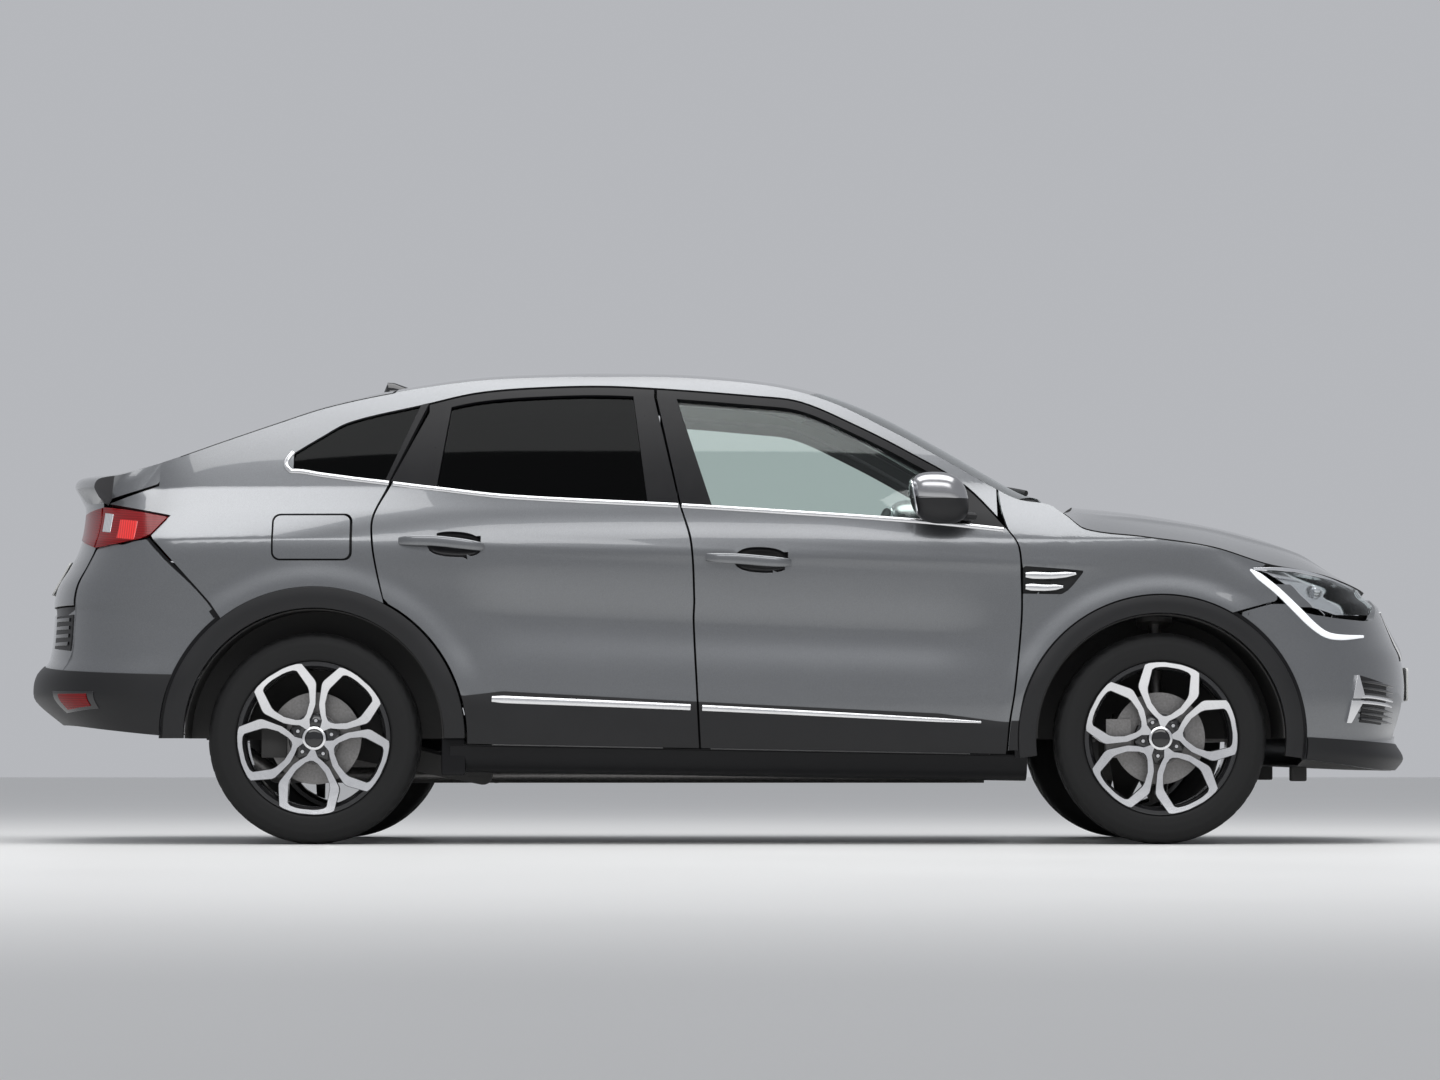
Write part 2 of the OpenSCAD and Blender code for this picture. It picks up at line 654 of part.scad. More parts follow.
// Roof, windscreen, scuttle and bonnet on the upper surface, from one side of the car to the other
cross = [1, 0.886, 0.717, 0.412, 0, -0.412, -0.717, -0.886, -1];
header_x = 290;
header_bow = 60;
base_x = 960;
base_bow = 118;
bonnet_x = 1105;
bonnet_bow = 70;
bonnet_front = 2124;
edge_inset = 42;
function bowed(x, bow, v) = x + bow * (1 - v * v);
function upper_row(x, bow, depth, inset) = [
  for (v = cross) upper(bowed(x, bow, v), v * (1 - inset / edge_half(x)), depth)
];
function upper_rows(xs, bows, depth, inset) = [
  for (i = [0 : len(xs) - 1])
    upper_row(xs[i], bows[i], is_function(depth) ? depth(i) : depth, inset)
];
module upper_sheet(xs, bows, depth, start = 0, gap = 0, inset = edge_inset) {
  top = upper_rows(xs, bows, start, gap);
  under = upper_rows(xs, bows, depth, inset);
  sheet(top, under);
}
roof_x = [tailgate_x + lid_gap / 2, -960, -930, -790, -530, -310, -100, 130, header_x];
module roof_panel() color(paint) {
  bows = [for (x = roof_x) header_bow * unit((x + 310) / (header_x + 310))];
  upper_sheet(roof_x, bows, lid_t);
  header();
}
screen_x = [header_x + glass_gap, 450, 610, 760, 890, base_x];
function screen_bow(x) = mix(header_bow, base_bow, (x - header_x) / (base_x - header_x));
module windscreen() color(clear) upper_sheet(
  screen_x, [for (x = screen_x) screen_bow(x)], glass_t, 0, 0, glass_t + 5
);
module scuttle_panel() color(black) {
  xs = [base_x - 28, base_x + 4, base_x + 18, bonnet_x - 40];
  bows = [screen_bow(base_x - 28), base_bow, base_bow, base_bow * 0.6];
  starts = [glass_t + 1, glass_t + 1, 34, 34];
  sheet(
    upper_rows(xs, bows, function (i) starts[i], edge_inset),
    upper_rows(xs, bows, function (i) starts[i] + 8, edge_inset)
  );
}
bonnet_rows = [bonnet_x, 1182, 1185, 1357, 1579, 1760, 1866, 1986, 2070, bonnet_front];
bonnet_inset = 60;
module bonnet() color(paint) {
  bows = [for (x = bonnet_rows) x < 1200 ? bonnet_bow : 0];
  upper_sheet(
    bonnet_rows, bows, function (i) i < 2 ? flange_t : lid_t, 0, panel_gap, bonnet_inset
  );
  bonnet_leaf();
}
// Lid hinges: barrels on an axis below the lid's thin flange, with posts from the body
bonnet_axis = [1100, 1056];
bonnet_hinge_y = 595;
bonnet_arm = 130;
module lid_barrels(axis, y) {
  for (way = [-1, 1])
    translate([station(axis[0]), way * y, axis[1]]) rotate([90, 0, 0])
      cylinder(h = barrel_h, r = barrel_r, center = true);
}
module lid_posts(axis, y, foot) {
  for (way = [-1, 1], end = [-1, 1])
    translate([station(axis[0]), way * y + end * (0.75 * barrel_h + seat_gap), axis[1]]) {
      rotate([90, 0, 0]) cylinder(h = barrel_h / 2, r = barrel_r, center = true);
      translate([-barrel_r, -barrel_h / 4, foot - axis[1]])
        cube([2 * barrel_r, barrel_h / 2, axis[1] - foot]);
    }
}
module bonnet_leaf() {
  lid_barrels(bonnet_axis, bonnet_hinge_y);
  for (way = [-1, 1])
    translate([station(bonnet_axis[0]), way * bonnet_hinge_y - barrel_h / 2, bonnet_axis[1] - leaf_t / 2])
      cube([bonnet_arm, barrel_h, leaf_t]);
}
tailgate_axis = [-1125, 1478];
tailgate_hinge_y = 200;
tailgate_arm = 43;
header_z = [1390, 1410];
header_h = 74;
module header() {
  translate([station(-1142), -520, header_z[0]]) cube([122, 1040, header_z[1] - header_z[0]]);
  translate([station(-1050), -300, header_z[1] - 1]) cube([24, 600, header_h]);
  lid_posts(tailgate_axis, tailgate_hinge_y, header_z[1] - 1);
}

// Tailgate: from the bumper up the tail, round the spoiler and along the rear window to the hinge
tail_turn = [48, 40, 30, 15, 0, -15, -30, -40, -48];
tail_rows = [772, 842, 901, 957, 985, 1040, 1085, 1108];
lamp_rows = [4, 6];
tail_inset = 0.955;
spoiler_half = 632;
spoiler_drop = 20;
spoiler_out = [[-2150, 1150, 122], [-2166, 1182, 124], [-2150, 1206, 122], [-2040, 1220, 84], [-1950, 1234, 44]];
spoiler_in = [[-2072, 1118, 76], [-2066, 1128, 74], [-2056, 1142, 74], [-2000, 1168, 60], [-1930, 1186, 40]];
deck_x = [-1822, -1755, -1611, -1447, -1282, -1172, -1169, tailgate_x - lid_gap / 2];
rear_window = [len(tail_rows) + len(spoiler_out) + 1, len(tail_rows) + len(spoiler_out) + 5];
function spoiler_row(rows, share) = [
  for (q = rows)
    [for (v = cross) [station(q[0]) + q[2] * v * v, share * v * spoiler_half, q[1] - spoiler_drop * v * v]]
];
tailgate_outer = concat(
  [for (z = tail_rows) [for (a = tail_turn) tail_at(a, z, 0)]],
  spoiler_row(spoiler_out, 1),
  [for (x = deck_x) upper_row(x, 0, 0, panel_gap)]
);
tailgate_inner = concat(
  [for (z = tail_rows) [for (a = tail_turn) tail_at(a * tail_inset, z, lid_t)]],
  spoiler_row(spoiler_in, 0.95),
  [for (x = deck_x) upper_row(x, 0, x > -1170.5 ? flange_t : lid_t, bonnet_inset)]
);
function rear_window_cell(r, c) = r >= rear_window[0] && r < rear_window[1] && c >= 1 && c < len(cross) - 2;
module tailgate() color(paint) {
  sheet(tailgate_outer, tailgate_inner, function (r, c) !rear_window_cell(r, c));
  lid_barrels(tailgate_axis, tailgate_hinge_y);
  for (way = [-1, 1])
    translate([station(tailgate_axis[0]) - tailgate_arm, way * tailgate_hinge_y - barrel_h / 2, tailgate_axis[1] - leaf_t / 2])
      cube([tailgate_arm, barrel_h, leaf_t]);
}
// Rear glass: inside the frame's opening, between the outer and the inner surface
glass_sink = 0.2;
function rear_glass_layer(t) = [
  for (r = [rear_window[0] : rear_window[1]])
    [
      for (c = [1 : len(cross) - 2])
        mix(tailgate_outer[r][c], tailgate_inner[r][c], t) + [
          r == rear_window[0] ? glass_gap : r == rear_window[1] ? -glass_gap : 0,
          c == 1 ? -glass_gap : c == len(cross) - 2 ? glass_gap : 0,
          0
        ]
    ]
];
module tailgate_glass() color(tint) sheet(
  rear_glass_layer(glass_sink), rear_glass_layer(glass_sink + glass_t / lid_t)
);
lamp_out = 14;
module tailgate_lamps() color(red) both_sides() sheet(
  [for (r = [lamp_rows[0] : lamp_rows[1]]) [for (a = [40, 30]) tail_at(a, tail_rows[r], -lamp_out)]],
  [for (r = [lamp_rows[0] : lamp_rows[1]]) [for (a = [40, 30]) tail_at(a, tail_rows[r], -seat_gap)]]
);
// Tail lamps on the body's rear corners
tail_lamp_turn = [75, 70, 62, 55, 49.5];
tail_lamp_low = [1038, 1001.4, 987.4, 977.4, 969.4];
tail_lamp_top = [1044, 1052, 1064, 1074, 1080];
tail_lamp_t = 30;
module tail_lamps() color(red) both_sides() sheet(
  [
    for (v = [0, 0.5, 1])
      [for (i = [0 : 4]) tail_at(tail_lamp_turn[i], mix(tail_lamp_low[i], tail_lamp_top[i], v), 0)]
  ],
  [
    for (v = [0, 0.5, 1])
      [for (i = [0 : 4]) tail_at(tail_lamp_turn[i], mix(tail_lamp_low[i], tail_lamp_top[i], v), tail_lamp_t)]
  ]
);

// Rear bumper round the tail, from the arch on one side to the arch on the other
bumper_turn = [77, 72, 66, 58, 49.7, 49, 30, 12];
// Angle past a bend is stretched so that the last column ends at the edge
function bend(a, from, last, edge) =
  abs(a) <= from ? a : sign(a) * mix(from, edge, (abs(a) - from) / (last - from));
function mirrored(list) = concat(list, [for (i = [len(list) - 1 : -1 : 0]) -list[i]]);
rear_bumper_low = [[0, 385], [40, 380], [60, 366], [80, 346]];
rear_bumper_top = [[0, 758], [49, 758], [49.7, 950], [66, 964], [72, 974], [78, 980]];
rear_bumper_side = [
  [725, -1613], [776, -1650], [832, -1701], [914, -1788.5], [991, -1860.5]
];
function rear_bumper_x(z) =
  z < rear_bumper_side[0][0]
    ? rear_axle_x - sqrt(pow(rear_arch_r + arch_clear, 2) - pow(z - tyre_r, 2))
    : curve(rear_bumper_side, z);
bumper_share = [0, 0.09, 0.17, 0.26, 0.36, 0.46, 0.56, 0.67, 0.78, 0.89, 1];
bumper_t = 28;
bumper_bend = 50;
nose_bend = 40;
function rear_bumper_at(a, v, depth) =
  let (
    z = mix(curve(rear_bumper_low, abs(a)), curve(rear_bumper_top, abs(a)), v),
    edge = tail_angle(rear_bumper_x(z), z),
    b = bend(a, bumper_bend, bumper_turn[0], edge)
  )
  tail_at(b, z, depth);
module rear_bumper() color(paint) sheet(
  [for (v = bumper_share) [for (a = mirrored(bumper_turn)) rear_bumper_at(a, v, 0)]],
  [for (v = bumper_share) [for (a = mirrored(bumper_turn)) rear_bumper_at(a, v, bumper_t)]]
);

// Front bumper round the nose, with openings for the grille and the lower intake
front_turn = [-79, -75, -66, -56, -47, -39, -31, -25, -14, -5];
front_bumper_low = [[0, 235], [40, 238], [60, 250], [80, 272]];
front_bumper_top = [[0, 797], [25, 795], [31, 766], [39, 726], [56, 726], [66, 742], [75, 770], [80, 770]];
front_bumper_side = [[735, 1646], [747, 1680], [763, 1738], [778, 1798]];
function front_bumper_x(z) =
  z < front_bumper_side[0][0]
    ? front_axle + sqrt(pow(front_arch_r + 1.51 * arch_clear, 2) - pow(z - tyre_r, 2))
    : curve(front_bumper_side, z);
front_share = [0, 0.1, 0.2, 0.4, 0.64, 0.8, 0.95, 1];
function front_bumper_at(a, v, depth) =
  let (
    z = mix(curve(front_bumper_low, abs(a)), curve(front_bumper_top, abs(a)), v),
    edge = nose_angle(front_bumper_x(z), z),
    b = bend(a, nose_bend, -front_turn[0], edge)
  )
  nose_at(b, z, depth);
front_cols_all = mirrored(front_turn);
grille_cols = [7, len(front_cols_all) - 9];
function grille_cell(r, c) = (r == 2 || r == 4 || r == 5) && c >= grille_cols[0] && c <= grille_cols[1];
module front_bumper() color(paint) sheet(
  [for (v = front_share) [for (a = front_cols_all) front_bumper_at(a, v, 0)]],
  [for (v = front_share) [for (a = front_cols_all) front_bumper_at(a, v, bumper_t)]],
  function (r, c) !grille_cell(r, c)
);
// Grille: curved bars across both openings, held by uprights behind them
bar_count = [9, 5];
bar_h = 7;
bar_t = 12;
bar_in = 16;
upright_t = 10;
grille_seat = [0.005, 0.0034];
module grille_bar(v) {
  turns = [for (c = [grille_cols[0] : grille_cols[1] + 1]) front_cols_all[c] * 0.985];
  sheet(
    [for (up = [-0.5, 0.5]) [for (a = turns) front_bumper_at(a, v, bar_in) + [0, 0, up * bar_h]]],
    [for (up = [-0.5, 0.5]) [for (a = turns) front_bumper_at(a, v, bar_in + bar_t) + [0, 0, up * bar_h]]]
  );
}
module grille() color(black) {
  shares = [[front_share[4], front_share[6]], [front_share[2], front_share[3]]];
  for (k = [0, 1]) {
    n = bar_count[k];
    for (i = [1 : n]) grille_bar(mix(shares[k][0], shares[k][1], (i - 0.5) / n));
    for (way = [-1, 0, 1])
      let (
        low = front_bumper_at(way * 18, shares[k][0] + grille_seat[k], bar_in + bar_t - 1),
        top = front_bumper_at(way * 18, shares[k][1] - grille_seat[k], bar_in + bar_t - 1)
      )
        hull()
          for (p = [low, top])
            translate(p - [upright_t, upright_t / 2, 0]) cube([upright_t, upright_t, 1]);
  }
}

// Headlamps between the bonnet, the fender and the bumper
headlamp_turn = [71, 69.8, 66, 56, 41, 33];
headlamp_low = [879, 872, 766, 740, 740, 774];
headlamp_top = [881, 884, 884, 868, 847, 824];
headlamp_t = 40;
module headlamps() color(clear) both_sides() sheet(
  [
    for (v = [0, 0.5, 1])
      [for (i = [5 : -1 : 0]) nose_at(headlamp_turn[i], mix(headlamp_low[i], headlamp_top[i], v), 0)]
  ],
  [
    for (v = [0, 0.5, 1])
      [for (i = [5 : -1 : 0]) nose_at(headlamp_turn[i], mix(headlamp_low[i], headlamp_top[i], v), headlamp_t)]
  ]
);

// Door mirrors: a rounded housing on an arm from the door's front corner
mirror_at = [706, 965, 1108];
mirror_size = [150, 118, 150];
mirror_round = 34;
module door_mirror() {
  foot_x = 800;
  foot_z = 1048;
  foot_y = max(width_at(foot_x - 30, foot_z - 15), width_at(foot_x + 30, foot_z - 15)) + seat_gap;
  reach = mirror_size / 2 - [1, 1, 1] * mirror_round;
  translate([station(mirror_at[0]), mirror_at[1], mirror_at[2]])
    hull()
      for (a = [-1, 1], b = [-1, 1], c = [-1, 1])
        translate([a * reach[0], b * reach[1], c * reach[2]]) sphere(r = mirror_round, $fn = 16);
  hull() {
    translate([station(foot_x), foot_y + 2, foot_z]) cube([60, 4, 30], center = true);
    translate([station(mirror_at[0]), mirror_at[1] - 20, mirror_at[2] - 62]) cube([60, 20, 14], center = true);
  }
}
module front_left_mirror() color(paint) door_mirror();
module front_right_mirror() color(paint) mirror([0, 1, 0]) door_mirror();

// Engine, subframe and exhaust
engine_size = [430, 660, 500];
engine_at = [1240, -330, 330];
beam_h = 60;
ball_y = 742;
ball_z = 185;
ball_r = 20;
ball_drop = 50;
strut_top_y = 580;
strut_top_z = apron_z;
steer_lean = atan2(ball_y - strut_top_y, strut_top_z - ball_z);
arm_w = 70;
module engine_block() color(steel) translate([station(engine_at[0]), engine_at[1], engine_at[2]]) cube(engine_size);
module front_subframe() color(black) {
  top = engine_at[2] - seat_gap;
  translate([station(front_axle) - 170, -rail_y[1], top - beam_h]) cube([260, 2 * rail_y[1], beam_h]);
  both_sides() {
    translate([station(front_axle) - 120, rail_y[0], top - 1])
      cube([160, rail_y[1] - rail_y[0], rail_z - seat_gap - top + 1]);
    hull() {
      translate([station(front_axle) - arm_w, rail_y[1] - 20, top - beam_h]) cube([2 * arm_w, 20, 24]);
      translate([station(front_axle), ball_y, ball_z - ball_drop]) cylinder(h = 20, r = 26, $fn = 32);
    }
    translate([station(front_axle), ball_y, ball_z]) rotate([steer_lean, 0, 0])
      translate([0, 0, 12 - ball_drop]) cylinder(h = ball_drop - 12, r = ball_r);
  }
}
pipe_r = 26;
pipe_y = -150;
pipe_z = 220;
silencer_r = 70;
silencer_at = [-1840, 0, 430];
module pipe_run(a, b) {
  d = b - a;
  translate(a) rotate([0, acos(d[2] / norm(d)), atan2(d[1], d[0])]) cylinder(h = norm(d), r = pipe_r);
  translate(b) sphere(r = pipe_r);
}
module exhaust() color(steel) {
  route = [
    [station(880), pipe_y, pipe_z], [station(-1480), pipe_y, pipe_z], [station(-1780), pipe_y, silencer_at[2]]
  ];
  pipe_run(route[0], route[1]);
  pipe_run(route[1], route[2]);
  translate([station(silencer_at[0]), -330, silencer_at[2]]) rotate([-90, 0, 0]) cylinder(h = 660, r = silencer_r);
  translate([station(0) - 30, pipe_y - 5, pipe_z]) cube([60, 10, floor_z - pipe_z - seat_gap]);
  translate([station(silencer_at[0]) - 20, -5, silencer_at[2]]) cube([40, 10, 560 - silencer_at[2] - seat_gap]);
}

// Wheel carriers: the front ones turn about the line from the ball joint to the strut's top
stub_r = 24;
stub_in = -80;
carrier_r = 48;
hub_face = 45;
rotor_in = [-14, 10];
strut_r = 20;
spring_r = 58;
caliper_x = [-172, -92];
caliper_half = 62;
module on_wheel(x) translate([station(x), track_half, tyre_r]) children();
module along_y(from, to, r) translate([0, from, 0]) rotate([-90, 0, 0]) cylinder(h = to - from, r = r);
module caliper(r) {
  difference() {
    translate([caliper_x[0], rotor_in[0] - 22, -caliper_half])
      cube([caliper_x[1] - caliper_x[0], rotor_in[1] - rotor_in[0] + 42, 2 * caliper_half]);
    along_y(rotor_in[0] - 4, rotor_in[1] + 4, r + 5);
  }
}
module carrier(r) {
  difference() {
    union() {
      along_y(stub_in - 4, rotor_in[0] - 4, carrier_r);
      translate([caliper_x[1] - 24, rotor_in[0] - 44, -30]) cube([90, 40, 60]);
    }
    along_y(-90, 0, stub_r + seat_gap);
  }
  caliper(r);
}
strut_low = [0, ball_y - track_half - (430 - ball_z) * (ball_y - strut_top_y) / (strut_top_z - ball_z), 430 - tyre_r];
strut_high = [0, strut_top_y - track_half, strut_top_z - tyre_r - seat_gap];
module strut_part(from, to, r) {
  d = strut_high - strut_low;
  lean = atan2(-d[1], d[2]);
  translate(strut_low) rotate([lean, 0, 0]) translate([0, 0, from * norm(d)])
    cylinder(h = (to - from) * norm(d) - r * sin(lean), r = r);
}
module knuckle() on_wheel(front_axle) {
  carrier(disc_r);
  translate([-20, ball_y - track_half - 16, ball_z - tyre_r + 14]) cube([40, 30, tyre_r - ball_z - 44]);
  translate([0, ball_y - track_half, ball_z - tyre_r]) rotate([steer_lean, 0, 0])
    translate([0, 0, seat_gap]) cylinder(h = 36, r = ball_r);
  translate([-22, -118, -20]) cube([44, 36, 130]);
  strut_part(0, 1, strut_r);
  strut_part(0.62, 0.97, spring_r);
}
module front_left_knuckle() color(steel) knuckle();
module front_right_knuckle() color(steel) mirror([0, 1, 0]) knuckle();
beam_x = -1170;
beam_z = 335;
arm_y = [540, 600];
boss_r = 30;
boss_x = -775;
module rear_axle() color(steel) {
  translate([station(beam_x), -arm_y[1], beam_z]) rotate([-90, 0, 0]) cylinder(h = 2 * arm_y[1], r = 36);
  both_sides() {
    hull() {
      translate([station(boss_x), arm_y[0], floor_z - boss_r - seat_gap]) rotate([-90, 0, 0])
        cylinder(h = arm_y[1] - arm_y[0], r = boss_r, $fn = 32);
      translate([station(rear_axle_x), arm_y[0], tyre_r]) rotate([-90, 0, 0])
        cylinder(h = arm_y[1] - arm_y[0], r = 44, $fn = 32);
    }
    on_wheel(rear_axle_x) {
      carrier(disc_r);
      along_y(arm_y[1] - track_half - 1, stub_in - 2, carrier_r - 12);
    }
    translate([station(-1235), (arm_y[0] + arm_y[1]) / 2, 350]) cylinder(h = 560 - seat_gap - 350, r = spring_r);
  }
}

// Wheels: rim with petal shaped spokes, tyre and brake disc on each axle
flange_r = 229;
barrel_in = 212;
flange_h = 15;
petal_out = [[70, 20], [98, 54], [150, 96], [206, 97], [238, 70], [250, 30]];
petal_in = [[100, 12], [113, 34], [158, 70], [205, 70], [222, 50], [227, 22]];
spoke_y = [56, 86];
hub_r = 82;
function both_edges(p) = concat(p, [for (i = [len(p) - 1 : -1 : 0]) [p[i][0], -p[i][1]]]);
module revolve() rotate([-90, 0, 0]) rotate_extrude() children();
module rim(turn) {
  w = rim_w / 2;
  revolve() polygon([
    [rim_r, w], [rim_r, w - 12], [flange_r, w - flange_h], [flange_r, flange_h - w], [rim_r, 12 - w],
    [rim_r, -w], [barrel_in, -w], [barrel_in, w]
  ]);
  difference() {
    along_y(hub_face, spoke_y[1] - 8, hub_r);
    for (i = [0 : spokes - 1])
      rotate([0, (i + 0.5) * 360 / spokes + turn, 0]) translate([bolt_r, 0, 0]) along_y(hub_face - 1, spoke_y[1], 7);
    along_y(hub_face - 1, spoke_y[1], 30);
  }
  intersection() {
    for (i = [0 : spokes - 1])
      rotate([0, i * 360 / spokes + turn, 0]) translate([0, spoke_y[1], 0]) rotate([90, 0, 0])
        linear_extrude(spoke_y[1] - spoke_y[0])
          difference() {
            polygon(both_edges(petal_out));
            polygon(both_edges(petal_in));
          }
    along_y(spoke_y[0] - 1, spoke_y[1] + 1, flange_r - 1);
  }
}
module tyre() {
  w = tyre_w / 2;
  bead = rim_w / 2 - flange_h - seat_gap;
  r0 = flange_r + seat_gap;
  half = [
    [r0, bead], [rim_r + seat_gap, rim_w / 2 - 12 - seat_gap], [rim_r + 1, rim_w / 2 + 1], [262, w - 3], [285, w],
    [306, w - 2], [323, w - 9], [333, w - 19], [tyre_r - 2, w - 34], [tyre_r, w - 54]
  ];
  revolve() polygon(concat(half, [for (i = [len(half) - 1 : -1 : 0]) [half[i][0], -half[i][1]]]));
}
module brake_disc(r) {
  along_y(rotor_in[0], rotor_in[1], r);
  along_y(rotor_in[1] - 1, hub_face - seat_gap, 75);
  along_y(stub_in, rotor_in[0] + 1, stub_r);
}
module left_wheel(x) on_wheel(x) children();
module right_wheel(x) mirror([0, 1, 0]) on_wheel(x) children();
front_turn_deg = 81;
rear_turn_deg = 84.6;
module front_left_rim() color(silver) left_wheel(front_axle) rim(front_turn_deg);
module front_right_rim() color(silver) right_wheel(front_axle) rim(front_turn_deg);
module rear_left_rim() color(silver) left_wheel(rear_axle_x) rim(rear_turn_deg);
module rear_right_rim() color(silver) right_wheel(rear_axle_x) rim(rear_turn_deg);
module front_left_tyre() color(black) left_wheel(front_axle) tyre();
module front_right_tyre() color(black) right_wheel(front_axle) tyre();
module rear_left_tyre() color(black) left_wheel(rear_axle_x) tyre();
module rear_right_tyre() color(black) right_wheel(rear_axle_x) tyre();
module front_left_disc() color(steel) left_wheel(front_axle) brake_disc(disc_r);
module front_right_disc() color(steel) right_wheel(front_axle) brake_disc(disc_r);
module rear_left_disc() color(steel) left_wheel(rear_axle_x) brake_disc(disc_r);
module rear_right_disc() color(steel) right_wheel(rear_axle_x) brake_disc(disc_r);

// Cabin: dashboard with the steering wheel, front seats and rear bench
dash_line = [[900, 620], [900, 1062], [650, 1062], [575, 1000], [610, 780], [760, 620]];
wheel_at = [500, 370, 955];
wheel_lean = -66;
wheel_r = 182;
grip_r = 15;
seat_y = 370;
seat_w = 500;
seat_line = [
  [360, 470], [340, 560], [-90, 530], [-230, 1110], [-262, 1150], [-290, 1300], [-370, 1300], [-372, 1150],
  [-350, 1080], [-240, 440], [300, 430]
];
bench_line = [
  [-560, 440], [-570, 590], [-930, 560], [-1060, 1090], [-1150, 1090], [-1016, 426], [-890, 426]
];
bench_half = 620;
module cabin_profile(points, from, to) {
  translate([0, to, 0]) rotate([90, 0, 0]) linear_extrude(to - from)
    polygon([for (p = points) [station(p[0]), p[1]]]);
}
module at_steering() translate([station(wheel_at[0]), wheel_at[1], wheel_at[2]]) rotate([0, wheel_lean, 0]) children();
module dashboard() color(trim) {
  translate([-seat_gap, 0, 0]) cabin_profile(dash_line, -tub_in + 5, tub_in - 5);
  at_steering() translate([0, 0, -200]) cylinder(h = 160, r = 40);
}
module steering_wheel() color(black) at_steering() {
  rotate_extrude() translate([wheel_r, 0]) circle(r = grip_r);
  translate([0, 0, -40 + seat_gap]) cylinder(h = 44, r = 60);
  for (a = [0, 120, 240])
    rotate([0, 0, a]) translate([50, -18, -14]) cube([wheel_r - 54, 36, 12]);
}
module front_seats() color(trim) both_sides() {
  cabin_profile(seat_line, seat_y - seat_w / 2, seat_y + seat_w / 2);
  translate([station(-160), seat_y - 190, floor_z + floor_t + seat_gap]) cube([400, 380, 190]);
}
module rear_seat() color(trim) translate([0, 0, seat_gap]) cabin_profile(bench_line, -bench_half, bench_half);

floor_pan();
sills();
body_sides();
pillars();
roof_panel();
front_fenders();
front_bumper();
grille();
rear_bumper();
arch_bands();
wheel_liners();
windscreen();
scuttle_panel();
quarter_glasses();
headlamps();
tail_lamps();
engine_block();
dashboard();
steering_wheel();
front_seats();
rear_seat();
exhaust();
front_subframe();
rear_axle();
bonnet();
tailgate();
tailgate_glass();
tailgate_lamps();
fuel_flap();
front_left_door();
front_left_glass();
front_left_mirror();
front_right_door();
front_right_glass();
front_right_mirror();
rear_left_door();
rear_left_glass();
rear_right_door();
rear_right_glass();
front_left_knuckle();
front_right_knuckle();
front_left_rim();
front_left_tyre();
front_left_disc();
front_right_rim();
front_right_tyre();
front_right_disc();
rear_left_rim();
rear_left_tyre();
rear_left_disc();
rear_right_rim();
rear_right_tyre();
rear_right_disc();
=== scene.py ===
"""Coupe sport utility vehicle: smooth panels, trim, lamps, wheels and cabin over the packed frame."""

import math

import bmesh
import bpy
import numpy as np
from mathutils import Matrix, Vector


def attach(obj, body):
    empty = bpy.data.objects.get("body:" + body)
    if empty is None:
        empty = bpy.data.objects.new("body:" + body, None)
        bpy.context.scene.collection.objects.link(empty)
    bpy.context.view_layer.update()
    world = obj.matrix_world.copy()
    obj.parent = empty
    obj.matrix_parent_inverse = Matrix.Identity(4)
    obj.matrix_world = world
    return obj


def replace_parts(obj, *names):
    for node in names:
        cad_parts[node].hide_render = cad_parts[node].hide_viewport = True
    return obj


bl_info = {
    "name": "Coupe sport utility vehicle",
    "version": (1, 0, 0),
    "blender": (4, 5, 0),
    "location": "3D View > Sidebar > Vehicle",
    "description": "Builds the car's panels, trim, lamps, wheels and cabin on its packed frame",
    "category": "Object",
}

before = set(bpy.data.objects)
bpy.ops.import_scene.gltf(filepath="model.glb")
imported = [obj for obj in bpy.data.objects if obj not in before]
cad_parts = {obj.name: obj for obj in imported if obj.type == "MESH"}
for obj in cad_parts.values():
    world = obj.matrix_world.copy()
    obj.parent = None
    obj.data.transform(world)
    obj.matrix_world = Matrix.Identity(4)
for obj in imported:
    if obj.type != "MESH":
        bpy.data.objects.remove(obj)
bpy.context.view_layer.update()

# Shared lines of the body, in millimetres, as (station, height) or (height, offset)
RIDGE = [
    (-2166, 1196), (-2100, 1216), (-1960, 1232), (-1824, 1262), (-1611, 1342), (-1447, 1402),
    (-1282, 1458), (-1055, 1508), (-789, 1547), (-532, 1560), (-359, 1562), (-101, 1556),
    (176, 1528), (352, 1488), (528, 1420), (704, 1326), (880, 1224), (985, 1163), (1085, 1128),
    (1273, 1104), (1501, 1070), (1728, 1024), (1898, 968), (1990, 915), (2057, 878), (2130, 838),
]
EDGE = [
    (-2166, 1178), (-2100, 1190), (-1960, 1206), (-1824, 1238), (-1611, 1310), (-1447, 1366),
    (-1282, 1420), (-1055, 1470), (-789, 1509), (-532, 1522), (-359, 1524), (-101, 1518),
    (176, 1488), (352, 1438), (528, 1352), (704, 1254), (880, 1152), (960, 1112), (1060, 1094),
    (1110, 1062), (1170, 1014), (1357, 988), (1579, 955), (1760, 901), (1866, 885), (1986, 864),
    (2087, 832), (2130, 818),
]
SECTION = [
    (195, 84), (240, 46), (300, 22), (400, 12), (520, 9), (650, 13), (800, 9), (920, 3), (965, 5),
    (1010, 14), (1060, 32), (1100, 52), (1160, 82), (1250, 128), (1350, 184), (1440, 240),
    (1490, 280), (1525, 322), (1570, 390),
]
CABIN = [(-1830, 130), (-1450, 66), (-1100, 24), (-700, 0), (300, 0), (600, 18), (900, 56), (1110, 80)]
NOSE = [
    (195, 2222), (238, 2249), (275, 2270), (330, 2247), (400, 2265), (452, 2278), (531, 2281), (611, 2268),
    (669, 2240), (730, 2214), (770, 2198), (801, 2164), (833, 2134), (873, 2057), (924, 1954), (963, 1898),
    (1015, 1728), (1060, 1501),
]
